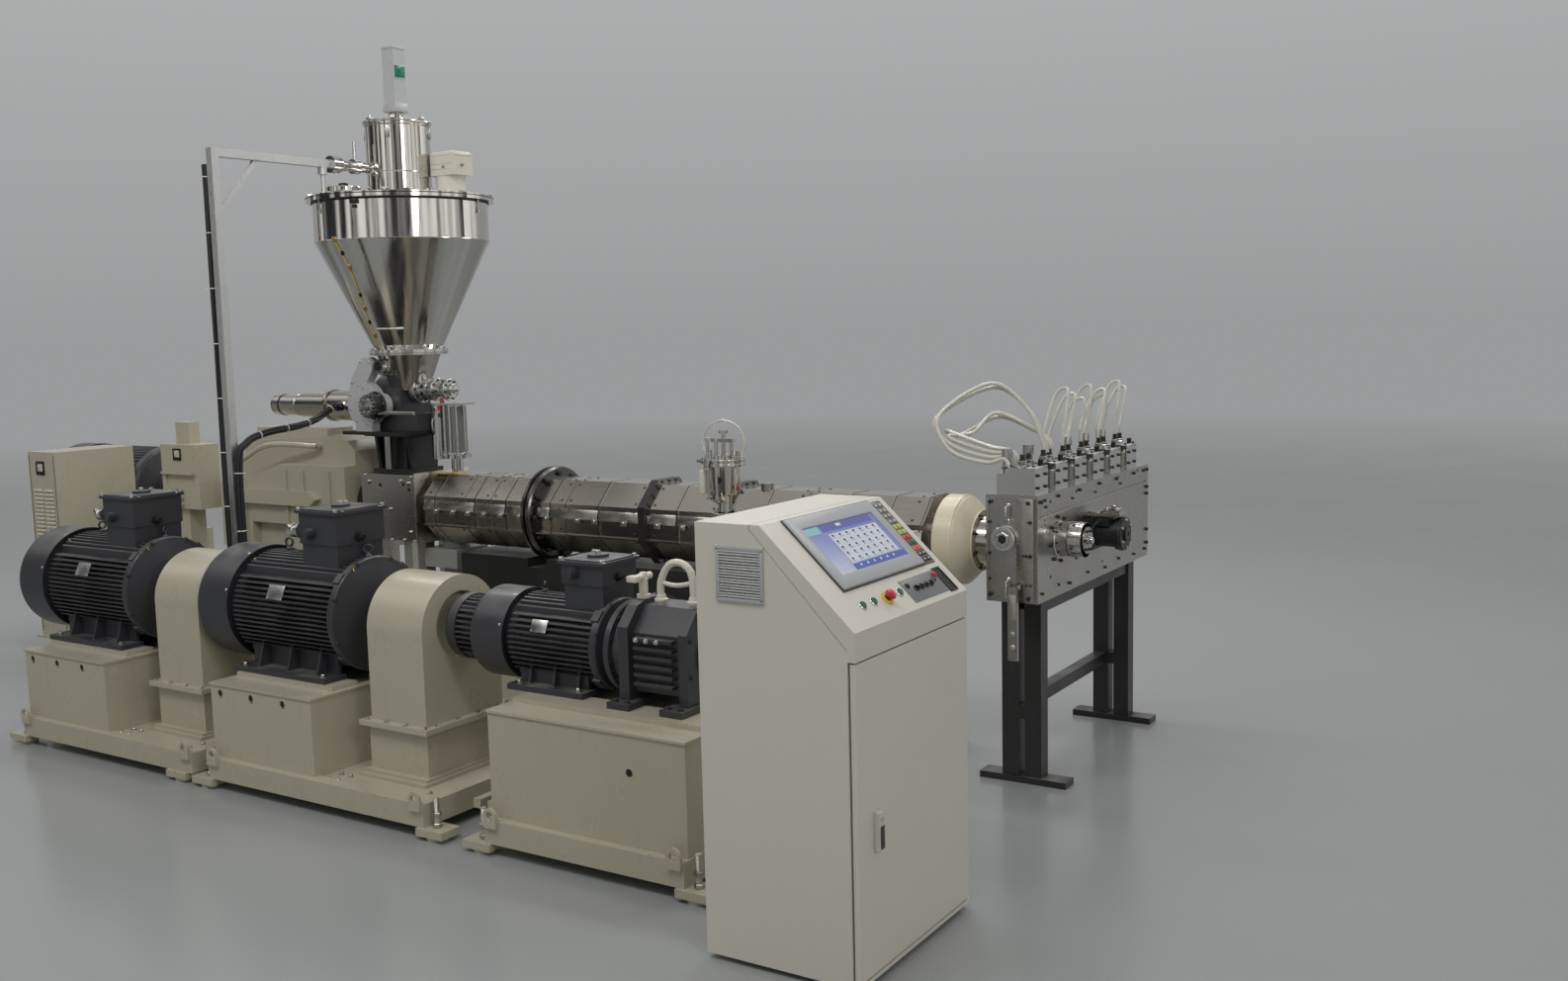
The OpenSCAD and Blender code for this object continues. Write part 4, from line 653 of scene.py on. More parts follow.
def screenGlass():
    # Lit glass: violet blue above, paler towards the lower left, as one colour field
    finish, tree, shader = newFinish("screenGlass")
    down = ranged(tree, axisOf(tree, "Z"), 1.44, 1.29)
    pale = product(tree, down, ranged(tree, axisOf(tree, "Y"), -1.3, -1.62))
    clouds = ranged(tree, noiseOf(tree, objectPlace(tree), 11, 3), 0.35, 0.7, 0, 0.45)
    pale = mathOf(tree, "ADD", product(tree, pale, 0.9), product(tree, clouds, down))
    fill(tree, shader, Base_Color=blendOf(tree, pale, srgb(118, 132, 196), srgb(206, 208, 226)),
         Roughness=0.12, Coat_Weight=0.3)
    return finish


def onDesk(parts, name, finish):
    # Settles parts that were made in the desk's own frame
    return settle(moved(joined(parts), deskFrame), name, finish, "panel")


def screenParts(user):
    (x0, y0), (x1, y1) = user["bezel"]
    rim = user["frame"]
    bezel = recessed(block((x0, y0, 0), (x1, y1, user["thick"]), 0.006, 3),
                     lambda face: face.normal.z > 0.99 and face.area > 0.05,
                     [(rim - 0.008, 0), (0.002, -0.0008)], (0, 0, -user["deep"]))
    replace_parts(onDesk([bezel], "screen_bezel", bezelGrey), "touch_screen")
    gasket = block((x0 - 0.005, y0 - 0.005, 0.0001), (x1 + 0.005, y1 + 0.005, 0.0042), 0.0015)
    onDesk([gasket], "screen_gasket", gasketGrey)
    x0, y0, x1, y1 = x0 + rim, y0 + rim, x1 - rim, y1 - rim
    glass = user["thick"] - user["deep"] - 0.0006
    onDesk([block((x0, y0, glass), (x1, y1, glass + 0.0009), 0)], "screen_glass", screenGlass())
    z = glass + 0.0009
    (px0, py0), (px1, py1) = user["panel"]
    for name, finish, low, high in (
            ("screen_header", screenViolet, (x0 + 0.002, y0 + 0.1), (px0 - 0.012, y1 - 0.03)),
            ("screen_corner", screenCyan, (x0 + 0.004, y0 + 0.004), (x0 + 0.034, y0 + 0.088)),
            ("screen_panel", screenWhite, (px0, py0), (px1, py1)),
            ("screen_bar", screenBlue, (px1 + 0.004, py0 - 0.01), (x1 - 0.003, y1 - 0.004))):
        onDesk([block((*low, z), (*high, z + 0.0003), 0)], name, finish)

    def chip(x, y, deep, wide):
        return block((x, y, z + 0.0003), (x + deep, y + wide, z + 0.0006), 0)

    icons, marks = [], []
    for row in range(user["rows"]):
        for column in range(user["columns"]):
            x = px0 + (px1 - px0) / user["rows"] * (row + 0.2)
            y = py0 + (py1 - py0) / user["columns"] * (column + 0.28)
            icons.append(chip(x, y, 0.0085, 0.0115))
            marks.append(chip(x + 0.0125, y - 0.001, 0.002, 0.013 + 0.004 * ((row * 3 + column * 5) % 3)))
    onDesk(icons, "screen_icons", screenInk)
    onDesk(marks, "screen_marks", screenBlue)
    lights = [chip(px1 + 0.01, py0 + 0.03 + 0.045 * k, 0.008, 0.01) for k in range(6)]
    onDesk([*lights, chip(x0 + 0.008, y0 + 0.2, 0.012, 0.03)], "screen_lights", whiteMarks)


screenParts(screenUser)

# Desk: plates, switches and the key strip
keyUser = {
    "plate": [(0.346, 0.447), (0.441, 0.698)], "slot": [(0.34, 0.702), (0.45, 0.76)],
    "strip": [(0.014, 0.7), (0.32, 0.77)], "pitch": 0.0262,
    "switches": [(0.392, 0.516), (0.392, 0.552), (0.392, 0.588), (0.392, 0.624)],
}
buttonSpots = [(0.384, 0.157), (0.384, 0.229), (0.384, 0.406)]
stopSpot = [(0.39, 0.312)]
# Turned fittings of the desk: finish, sides, height of the place, spots and rings
buttonUser = {
    "button_rings": (plateSteel, 28, 0, buttonSpots, [[0, 0.0165], [0.003, 0.0165], [0.0045, 0.015], [0.0045, 0.0134],
                                                      [0.0035, 0.0132]]),
    "green_buttons": (buttonGreen, 28, 0, buttonSpots, [[0.0005, 0.0128], [0.007, 0.0128], [0.0085, 0.0113],
                                                        [0.0078, 0.00768], [0.0076, 0.001]]),
    "stop_plate": (stopYellow, 36, 0, stopSpot, [[0, 0.0245], [0.004, 0.0255], [0.0055, 0.0245]]),
    "stop_stem": (blackPlastic, 28, 0, stopSpot, [[0.005, 0.013], [0.014, 0.0115], [0.02, 0.013]]),
    "stop_head": (buttonRed, 36, 0, stopSpot, [[0.016, 0.0165], [0.019, 0.0195], [0.024, 0.0198], [0.0285, 0.0175],
                                               [0.031, 0.0125], [0.032, 0.002]]),
}
lockUser = {
    "key_lock": (darkBolts, 24, 0.0026, [(0.374, 0.474)], [[0, 0.0105], [0.005, 0.0105], [0.0062, 0.0085],
                                                           [0.0062, 0.004], [0.0035, 0.004]]),
    "green_lamp": (buttonGreen, 24, 0.0026, [(0.384, 0.656)], [[0, 0.0095], [0.006, 0.0095], [0.0095, 0.006],
                                                               [0.0105, 0.001]]),
    "red_lamp": (buttonRed, 24, 0.0026, [(0.368, 0.679)], [[0, 0.0105], [0.006, 0.0105], [0.0105, 0.0075],
                                                           [0.012, 0.001]]),
    "key_plate_screws": (plateSteel, 10, 0.0027, [(x, y) for x in (0.352, 0.435) for y in (0.453, 0.692)],
                         [[0, 0.0026], [0.001, 0.0026], [0.0018, 0.0014]]),
}
stripUser = {
    "strip_frames": (keyGrey, [0, 1, 2, 3]), "strip_lime": (limeKeys, [4, 5]), "strip_red": (buttonRed, [6]),
    "strip_green": (buttonGreen, [7]), "strip_orange": (orangeKeys, [8]), "strip_black": (blackPlastic, [9, 10]),
}


def deskKnobs(user):
    for name, (finish, sides, z, spots, rings) in user.items():
        places = [deskFrame @ Matrix.Translation((x, y, z)) for x, y in spots]
        fitted(turned(rings, sides), places, name, finish, "panel")


def keyPlate(user):
    (x0, y0), (x1, y1) = user["plate"]
    onDesk([block((x0, y0, 0), (x1, y1, 0.0028), 0.001)], "key_plate", keyGrey)
    places = [deskFrame @ placeAt((x, y, 0.0026), spin=24 * k - 30) for k, (x, y) in enumerate(user["switches"])]
    switch = joined([turned([[0, 0.0125], [0.004, 0.0125], [0.0055, 0.011], [0.0055, 0.002]], 24),
                     block((-0.0035, -0.0105, 0.004), (0.0035, 0.0105, 0.0155), 0.0016)])
    fitted(switch, places, "selector_switches", blackPlastic, "panel")
    line = block((-0.0008, -0.009, 0.0155), (0.0008, -0.002, 0.0159), 0)
    fitted(line, places, "selector_lines", whiteMarks, "panel")


def keyStrip(user):
    (x0, y0), (x1, y1) = user["slot"]
    slot = recessed(block((x0, y0, 0), (x1, y1, 0.0032), 0.001),
                    lambda face: face.normal.z > 0.99 and face.area > 0.003, [(0.006, 0)], (0, 0, -0.0022))
    onDesk([slot], "slot_plate", blackPlastic)
    (x0, y0), (x1, y1) = user["strip"]
    onDesk([block((x0, y0, 0), (x1, y1, 0.0022), 0.0008)], "key_strip", stripBrown)
    rowX = [x0 + 0.012 + user["pitch"] * row for row in range(11)]
    for name, (finish, rows) in stripUser.items():
        onDesk([block((rowX[row], y, 0.002), (rowX[row] + 0.019, y + 0.024, 0.0042), 0.0012)
                for row in rows for y in (y0 + 0.008, y0 + 0.037)], name, finish)
    onDesk([block((rowX[row] + 0.007, y, 0.0042), (rowX[row] + 0.011, y + 0.014, 0.0045), 0)
            for row in (0, 1, 2, 3, 9, 10) for y in (y0 + 0.013, y0 + 0.042)], "strip_marks", whiteMarks)


deskKnobs(buttonUser)
keyPlate(keyUser)
deskKnobs(lockUser)
keyStrip(keyUser)

# Console's door: flush handle with its swing lever and lock; screws of the grille and of the plate over it
handleUser = {"y": -1.687, "low": 0.438, "high": 0.575, "half": 0.0185, "front": plant["consoleX"] + plant["consoleD"]}


def doorParts(user):
    front, y, half, low, high = user["front"], user["y"], user["half"], user["low"], user["high"]
    surround = recessed(block((front - 0.001, y - half, low), (front + 0.004, y + half, high), 0.0025),
                        lambda face: face.normal.x > 0.99 and face.area > 0.002, [(0.0045, 0)], (-0.0035, 0, 0))
    lever = block((front + 0.0222, y - half + 0.006, low + 0.012), (front + 0.0238, y + half - 0.006, high - 0.05),
                  0.0006)
    lock = turnedAt([[0, 0.0085], [0.003, 0.0085], [0.0038, 0.007], [0.0032, 0.0035], [0.0012, 0.003]], 24,
                    (front + 0.022, y, high - 0.026), toDie)
    for piece, name, finish in ((surround, "handle_frame", plateSteel), (lever, "handle_lever_face", darkBolts),
                                (lock, "handle_lock", plateSteel)):
        settle(piece, name, finish, "console_paint", "console_door_leaf")
    x0, near = plant["consoleX"], plant["consoleY"]
    places = [placeAt((x0 + x, near - 0.0052, 1.232), toNear, size=0.7) for x in (0.087, 0.258)]
    places += [placeAt((x0 + x, near - 0.0002, z), toNear, size=0.7) for x in (0.084, 0.261) for z in (1.32, 1.406)]
    fitted(panelScrew(), places, "vent_screws", plateSteel, "console_paint")


doorParts(handleUser)
print("console dressed")

# Hopper top: control box window, ringed neck, loader clamps, rings and lugs, rim seal, and under the rim a black line
# that is partly gasket and partly its painted shadow
topUser = {
    "boxHalf": 0.046, "boxLow": 3.406, "boxTop": 3.775, "windowLow": 3.598, "windowHigh": 3.664, "neckR": 0.034,
    "rimR": 0.537, "sealZ": 2.899, "ringsOfLoader": ((0.1935, 0.0062, 3.338), (0.1865, 0.004, 3.318),
                                                     (0.1865, 0.0035, 3.05), (0.198, 0.005, 2.916)),
}


def rolledRing(radius, thick, z, sides):
    # A rolled ring on the hopper's axis
    return onAxis([[z - thick, radius - thick * 0.4], [z - thick * 0.7, radius + thick * 0.55], [z, radius + thick],
                   [z + thick * 0.7, radius + thick * 0.55], [z + thick, radius - thick * 0.4]], sides)


def controlBox(user):
    half, low, windowLow, windowHigh = user["boxHalf"], user["boxLow"], user["windowLow"], user["windowHigh"]
    front = hopperX + half
    window = block((front - 0.004, screwY - half + 0.007, windowLow),
                   (front + 0.0025, screwY + half - 0.007, windowHigh), 0.002)
    settle(window, "control_window", windowGreen, "polished_steel")
    settle([block((front - 0.003, screwY - half + 0.004, z), (front + 0.0032, screwY + half - 0.004, z + 0.003), 0.0008)
            for z in (windowLow - 0.003, windowHigh + 0.001)], "control_window_frame", plateSteel, "polished_steel")
    lamp = turnedAt([[0, 0.006], [0.0015, 0.006], [0.003, 0.002]], 16, (front + 0.0022, screwY - 0.012, 3.638), toDie)
    settle(lamp, "control_lamp", bluePlastic, "polished_steel")
    skirt = turnedAt([[low - 0.004, half * 1.62], [low + 0.012, half * 1.62], [low + 0.05, half * 1.44]], 4,
                     (hopperX, screwY, 0), spin=45)
    softenEdges(skirt, 0.003)
    settle(skirt, "control_skirt", controlGrey, "polished_steel")
    over = half + 0.002
    cap = block((hopperX - over, screwY - over, user["boxTop"] - 0.016),
                (hopperX + over, screwY + over, user["boxTop"] - 0.0005), 0.004, 3)
    settle(cap, "control_cap", controlGrey, "polished_steel")
    ribs = [rolledRing(user["neckR"] + 0.008, 0.005, z, 40) for z in (3.362, 3.376, 3.39)]
    settle([*ribs, onAxis([[3.346, 0.072], [3.352, 0.074], [3.358, 0.072]], 40)], "neck_rings", polished,
           "polished_steel")


def loaderFittings(user):
    # Swing bolts with their wing nuts, each a lug, eye, stud, hub and two wings; then rings and the drum's lugs
    clamp = joined([block((-0.006, -0.011, -0.012), (0.02, 0.011, 0.004), 0.0015),
                    turnedAt([[-0.009, 0.0075], [0.009, 0.0075]], 16, (0.013, 0, -0.002), (0, 1, 0)),
                    turnedAt([[0, 0.0035], [0.034, 0.0035]], 12, (0.013, 0, 0)),
                    turnedAt([[0, 0.008], [0.006, 0.008], [0.012, 0.006]], 12, (0.013, 0, 0.016)),
                    block((0.0115, -0.021, 0.02), (0.0145, -0.005, 0.033), 0.001),
                    block((0.0115, 0.005, 0.02), (0.0145, 0.021, 0.033), 0.001)])
    fitted(clamp, [facingOut(0.188, 20 + 45 * k, 2.926) for k in range(8)], "loader_clamps", plateSteel,
           "polished_steel")
    settle([rolledRing(*ring, 96) for ring in user["ringsOfLoader"]], "loader_rings", polished, "polished_steel")
    lug = joined([block((0.176, -0.014, 3.345), (0.206, 0.014, 3.358), 0.003),
                  moved(hexBolt(), placeAt((0.19, 0, 3.358)))])
    fitted(lug, [facingOut(0, degrees, 0) for degrees in (-95, -50, 5, 130)], "loader_lugs", plateSteel,
           "polished_steel")
    # Black gasket between rim and lid, and a black ring under the rim that is partly gasket and partly the rim's
    # painted shadow
    rimR, z = user["rimR"], user["sealZ"]
    settle([onAxis([[z - 0.0025, rimR + 0.0012], [z, rimR + 0.0028], [z + 0.0025, rimR + 0.0012]], 128),
            onAxis([[2.866, 0.5034], [2.868, 0.5085], [2.875, 0.5085], [2.8775, 0.5034]], 128)], "rim_seal_and_shadow_line", rubber,
           "polished_steel")


controlBox(topUser)
loaderFittings(topUser)

# Draw latches under the rim, with a chain and its tag at one of them, and a sensor beside it
latchUser = {"angles": (-105, 15, 135), "latchZ": 2.865, "chainZ": 2.797, "link": 0.0098, "links": 13, "sensorAt": -73}


def latchSet(user):
    latch = joined([block((-0.001, -0.014, -0.06), (0.004, 0.014, 0.0), 0.001),
                    block((0.006, -0.01, -0.052), (0.0095, 0.01, 0.012), 0.002),
                    turnedAt([[-0.0135, 0.0045], [0.0135, 0.0045]], 14, (0.006, 0, -0.012), (0, 1, 0)),
                    block((0.003, -0.005, -0.002), (0.007, 0.005, 0.022), 0.001),
                    block((0.0085, -0.0075, -0.066), (0.013, 0.0075, -0.048), 0.0018)])
    shellR = hopperUser["shellR"]
    fitted(latch, [facingOut(shellR, degrees, user["latchZ"]) for degrees in user["angles"]], "rim_latches",
           plateSteel, "polished_steel")
    at = facingOut(0.514, user["angles"][0], user["chainZ"])
    loop = [onCircle(0, 0, 1, 30 * k) for k in range(12)]
    link = tube([(0.0032 * x, 0, 0.0062 * z) for x, z in loop], 0.0011, 8, closed=True)
    fitted(link, [at @ placeAt((0, 0, -user["link"] * k), spin=90 * (k % 2)) for k in range(user["links"])],
           "latch_chain", plateSteel, "polished_steel")
    tag = moved(turned([[0, 0.0105], [0.0018, 0.0105]], 24, 0.0005), at @ placeAt((0, 0, -0.172), toDie))
    settle(tag, "latch_tag", plateSteel, "polished_steel")
    strap = moved(block((-0.0008, -0.0022, -0.163), (0.0008, 0.0022, -0.125), 0.0006), at)
    settle(strap, "latch_strap", yellowPlastic, "polished_steel")
    sensor = [moved(block((-0.002, -0.021, -0.02), (0.02, 0.021, 0.004), 0.003),
                    facingOut(shellR, user["sensorAt"], 2.862)),
              moved(turned([[0, 0.0095], [0.016, 0.0095], [0.018, 0.008]], 20),
                    facingOut(shellR, user["sensorAt"], 2.835) @ placeAt((0.01, 0, 0), (0, 0, -1)))]
    settle(sensor, "rim_sensor", blackPlastic, "polished_steel")


latchSet(latchUser)

# Hatch: its knob's grip, rim, raised disc, hinge bolts and the caps of its pins
hatchUser = {"x": -0.748, "y": 0.352, "z": 2.9324, "r": 0.115}


def hatchParts(user):
    x, y, z, radius = user["x"], user["y"], user["z"], user["r"]
    body = ("polished_steel", "hatch_cover")
    for name, finish, sides, rings in (
            ("hatch_knob", blackPlastic, 32, [[0.058, 0.017], [0.06, 0.0265], [0.066, 0.029], [0.071, 0.0265],
                                              [0.074, 0.014], [0.0745, 0.002]]),
            ("hatch_rim", polished, 96, [[0.0002, radius - 0.002], [0.002, radius + 0.0012], [0.008, radius + 0.0012],
                                         [0.01, radius - 0.001]]),
            ("hatch_disc", polished, 96, [[0.013, 0.098], [0.016, 0.105], [0.044, 0.105], [0.05, 0.099],
                                          [0.051, 0.06]])):
        settle(turnedAt(rings, sides, (x, y, z)), name, finish, *body)
    bolts = [placeAt((x + dx, y - radius + 0.004, z + 0.0095), size=0.6) for dx in (-0.012, 0.012)]
    fitted(hexBolt(), bolts, "hatch_bolts", plateSteel, *body)
    ends = [placeAt((x + side * 0.0445, y - radius - 0.018, 2.93), (side, 0, 0)) for side in mirror]
    fitted(turned([[0, 0.0085], [0.003, 0.0085], [0.0045, 0.006]], 20), ends, "hatch_pin_caps", plateSteel, *body)


hatchParts(hatchUser)

# Blower: foot flange, seam, cap, ribs, brass fittings and screws
blowerUser = {"x": -0.203, "y": 0.682, "low": 2.908, "seam": 3.028, "top": 3.158, "r": 0.084}


def blowerParts(user):
    x, y, low, seam, top, radius = (user[key] for key in ("x", "y", "low", "seam", "top", "r"))
    parts = [turnedAt([[0, radius + 0.012], [0.008, radius + 0.012], [0.011, radius + 0.002]], 48, (x, y, low)),
             turnedAt([[-0.006, radius + 0.001], [-0.002, radius + 0.005], [0.004, radius + 0.005],
                       [0.006, radius + 0.001]], 48, (x, y, seam)),
             block((x - 0.08, y - 0.082, top - 0.03), (x + 0.106, y + 0.082, top + 0.006), 0.02, 4)]
    parts += [block((x - 0.076, y - 0.0835, seam + dz), (x + 0.102, y + 0.0835, seam + dz + 0.006), 0.002)
              for dz in (0.035, 0.065)]
    settle(parts, "blower_mouldings", offWhite, "white_plastic")
    settle([turnedAt([[0, 0.0095], [0.006, 0.0095], [0.006, 0.006], [0.018, 0.006]], 6, (x + 0.104, y - 0.01, 3.085),
                     toDie),
            turnedAt([[0, 0.008], [0.01, 0.008]], 6, (x + 0.03, y - 0.08, 3.075), toNear)], "blower_fittings", brass,
           "white_plastic")
    screws = [placeAt((x + dx, y + dy, top + 0.0058), size=0.9) for dx in (-0.055, 0.08) for dy in (-0.055, 0.055)]
    screws += ringPlaces((x, y, low + 0.009), up, radius + 0.0065, 6, 20, 0.55)
    fitted(panelScrew(), screws, "blower_screws", plateSteel, "white_plastic")


blowerParts(blowerUser)
print("hopper top dressed")


# Cables: smooth routes, stranded bundles and their ties
def smoothRoute(points, steps):
    # Points of a smooth path through chosen points
    route = []
    last = len(points) - 1
    for i in range(last):
        before, a, b, after = (Vector(points[min(max(j, 0), last)]) for j in (i - 1, i, i + 1, i + 2))
        for t in [s / steps for s in range(steps)]:
            route.append(0.5 * (2 * a + (b - before) * t + (2 * before - 5 * a + 4 * b - after) * t ** 2
                                + (3 * a - before - 3 * b + after) * t ** 3))
    route.append(Vector(points[-1]))
    return route


def besideRoute(route, radius, degrees, twist):
    # The route moved sideways by a radius, turning slowly as a laid strand does
    side = None
    beside = []
    for i, point in enumerate(route):
        along = (route[min(i + 1, len(route) - 1)] - route[max(i - 1, 0)]).normalized()
        if side is None:
            side = along.cross(Vector((0.31, 0.2, 0.93))).normalized()
        side = (side - along * side.dot(along)).normalized()
        x, y = onCircle(0, 0, radius, degrees + twist * i)
        beside.append(point + side * x + along.cross(side) * y)
    return beside


def strandedBundle(user):
    route = smoothRoute(user["route"], user["steps"])
    strands = [tube(route, user["strandR"] * 0.95, 8, smooth=False)]
    for k in range(user["count"]):
        radius = user["ringR"] * (1 + 0.12 * math.sin(2.4 * k))
        line = besideRoute(route, radius, 360 * k / user["count"], user["twist"])
        strands.append(tube(line, user["strandR"] * (0.85 + 0.15 * (k % 3)), 8, smooth=False))
    return strands, route


def tiesAlong(route, user):
    # Ties with their heads and tails at even distances along a route
    radius = user["tieR"]
    band = [[-0.0028, radius], [-0.0022, radius + 0.0014], [0.0022, radius + 0.0014], [0.0028, radius]]
    tie = joined([turned(band, 24),
                  block((radius - 0.001, -0.0042, -0.0034), (radius + 0.0062, 0.0042, 0.0034), 0.0008),
                  block((radius + 0.002, -0.001, -0.0016), (radius + 0.019, 0.001, 0.0016), 0.0004)])
    places = []
    travelled = 0.0
    due = user["tieStart"]
    for a, b in zip(route, route[1:]):
        step = (b - a).length
        while travelled + step >= due:
            places.append(placeAt(a.lerp(b, (due - travelled) / step), b - a, spin=137 * len(places)))
            due += user["tieEvery"]
        travelled += step
    return copiesOf(tie, places)


dropUser = {
    "route": [(-0.6073, -0.675, 0.143), (-0.6093, -0.672, 0.6), (-0.6053, -0.677, 1.2), (-0.6083, -0.674, 1.8),
              (-0.6063, -0.676, 2.4), (-0.6073, -0.675, 3.018)],
    "steps": 8, "strandR": 0.0085, "ringR": 0.0175, "count": 7, "twist": 3.5, "tieR": 0.0268, "tieEvery": 0.29,
    "tieStart": 0.2,
}
archUser = {
    "route": [(-0.5087, -0.675, 0.143), (-0.5087, -0.675, 0.8), (-0.5087, -0.675, 1.42), (-0.5187, -0.615, 1.545),
              (-0.5887, -0.425, 1.59), (-0.7687, -0.055, 1.6), (-0.9287, 0.205, 1.62), (-0.94, 0.34, 1.68),
              (-0.94, 0.375, 1.68)],
    "steps": 8, "strandR": 0.0075, "ringR": 0.0138, "count": 6, "twist": 4, "tieR": 0.0218, "tieEvery": 0.31,
    "tieStart": 0.32,
}


def cableRuns():
    drop, dropRoute = strandedBundle(dropUser)
    arch, archRoute = strandedBundle(archUser)
    nut = turnedAt([[0, 0.024], [0.006, 0.027], [0.022, 0.027], [0.024, 0.0245], [0.035, 0.0245]], 8,
                   (-0.94, 0.365, 1.68), (0, 1, 0))
    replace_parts(settle([*drop, *arch, nut], "cable_strands", rubber, "cable_rubber"), "cable_bundle")
    settle([tiesAlong(dropRoute, dropUser), tiesAlong(archRoute, archUser)], "cable_ties", nylon, "cable_rubber")


cableRuns()
print("cables laid")

# Die head: bolts of the front as Y, distance from the edge and size, and of the near end as X, Z and size
dieUser = {
    "front": 3.635, "near": 0.264, "low": 0.86, "high": 1.34, "stubZ": 1.12, "port": (3.485, 1.147), "pitch": 0.2423,
    "firstY": 0.3, "motorY": 0.98, "endY": 1.765, "endZ": (0.93, 1.0, 1.19, 1.225),
    "topRow": ((0.315, 0.03, 0.9), (0.36, 0.027, 0.7), (0.375, 0.058, 0.6), (0.52, 0.024, 0.8), (0.7, 0.055, 0.6),
               (0.79, 0.026, 0.85), (1.0, 0.06, 0.55), (1.06, 0.024, 0.8), (1.3, 0.026, 0.8), (1.36, 0.056, 0.6),
               (1.56, 0.024, 0.85), (1.72, 0.026, 0.8), (1.765, 0.024, 0.9)),
    "lowRow": ((0.33, 0.04, 0.7), (0.52, 0.05, 0.7), (0.66, 0.035, 0.8), (0.9, 0.048, 0.7), (1.14, 0.034, 0.7),
               (1.33, 0.05, 0.8), (1.57, 0.036, 0.7), (1.74, 0.04, 0.8)),
    "nearEnd": ((3.42, 1.31, 1.0), (3.6, 1.31, 1.0), (3.42, 0.895, 1.1), (3.6, 0.885, 1.0), (3.415, 1.22, 0.8),
                (3.61, 1.225, 0.9), (3.595, 1.225, 0.5), (3.415, 1.08, 0.8), (3.61, 1.075, 1.0), (3.59, 1.075, 0.8),
                (3.575, 1.075, 0.6), (3.61, 0.945, 0.7), (3.59, 0.945, 0.7), (3.415, 0.965, 0.7)),
    "dowels": ((0.335, 1.262), (0.36, 1.262), (0.62, 1.28), (0.66, 1.284), (0.98, 1.296), (1.2, 1.3), (1.45, 1.305),
               (0.5, 0.91), (0.9, 0.905), (1.3, 0.91), (0.4, 1.0), (0.35, 1.17), (1.68, 1.29)),
    "holes": ((0.43, 1.3), (0.75, 1.31), (1.04, 1.316), (1.33, 1.32), (1.62, 1.322), (0.43, 0.96), (1.1, 0.93)),
}


def dieBolts(user):
    face, near = user["front"] + 0.0002, user["near"] - 0.0002
    bolts = [placeAt((face, y, user["high"] - down), toDie, 70 * y, size) for y, down, size in user["topRow"]]
    bolts += [placeAt((face, y, user["low"] + rise), toDie, 90 * y, size) for y, rise, size in user["lowRow"]]
    bolts += [placeAt((face, user["endY"], z), toDie, 10, 0.9) for z in user["endZ"]]
    bolts += [placeAt((x, near, z), toNear, 40 * x, size) for x, z, size in user["nearEnd"]]
    fitted(socketBolt(), bolts, "die_bolts", darkBolts, "tool_steel")
    dowel = turned([[0, 0.0075], [0.0018, 0.0075], [0.0034, 0.005], [0.0036, 0.0015]], 16)
    fitted(dowel, [placeAt((face, y, z), toDie, 0, 0.8) for y, z in user["dowels"]], "die_dowels", plateSteel,
           "tool_steel")
    # Tapped holes of the front as thin black discs: painted shade of the holes
    fitted(turned([[0, 0.0072], [0.0006, 0.0072]], 20), [placeAt((face, y, z), toDie) for y, z in user["holes"]],
           "die_hole_shades", blackAndHoleShade, "tool_steel")


def dieTrim(user):
    # Port with its nut, edge strip and cover plate of the near end, ledge along the seam, handles and hook
    front, near = user["front"], user["near"]
    x, z = user["port"]
    at = (x, near - 0.0002, z)
    boss = turnedAt([[0, 0.054], [0.004, 0.0565], [0.02, 0.0565], [0.0255, 0.052], [0.0255, 0.036], [0.0225, 0.0335],
                     [0.0165, 0.0325], [0.0165, 0.0]], 64, at, toNear)
    nut = turnedAt([[0.016, 0.0335], [0.0265, 0.0335], [0.028, 0.031], [0.028, 0.0215], [0.0175, 0.0205],
                    [0.0175, 0.0]], 6, at, toNear)
    settle([boss, nut], "die_port", plateSteel, "tool_steel")
    # Black ring inside the port's nut: painted shade of its bore
    settle(turnedAt([[0.0175, 0.0212], [0.0255, 0.0212], [0.0256, 0.0]], 32, at, toNear), "die_port_hole_shade", blackAndHoleShade,
           "tool_steel")
    settle([block((3.403, near - 0.0075, 0.874), (3.411, near - 0.0002, 1.327), 0.0015),
            block((3.5435, near - 0.0045, 0.874), (3.6225, near - 0.0002, 1.327), 0.0012)], "die_trim", toolSteel,
           "tool_steel")
    ledge = block((front - 0.0025, 0, -0.0024), (front + 0.0032, 1.46, 0.0018), 0.0008)
    settle(moved(ledge, Matrix.Translation((0, 0.302, 1.2385)) @ spinOf(0.55, "X")), "die_seam", plateSteel,
           "tool_steel")
    handles = []
    x = 3.505
    for low, high in ((1.225, 1.295), (0.885, 0.965)):
        bow = [(x, near, low), (x, near - 0.03, low), (x, near - 0.034, (low + high) / 2), (x, near - 0.03, high),
               (x, near, high)]
        handles.append(tube(bow, 0.0055, 12))
        handles += [turnedAt([[0, 0.011], [0.004, 0.011], [0.006, 0.008]], 20, (x, near, end), toNear)
                    for end in (low, high)]
    settle(handles, "die_handles", polished, "tool_steel")
    settle([block((3.522, 0.2165, 0.795), (3.558, 0.2195, 0.905), 0.0012),
            moved(hexBolt(), placeAt((3.54, 0.218, 0.67), toNear, 10, 1.1)),
            moved(hexBolt(), placeAt((3.54, 0.218, 0.73), toNear, 40, 0.9))], "die_hook_fittings", plateSteel,
           "tool_steel")


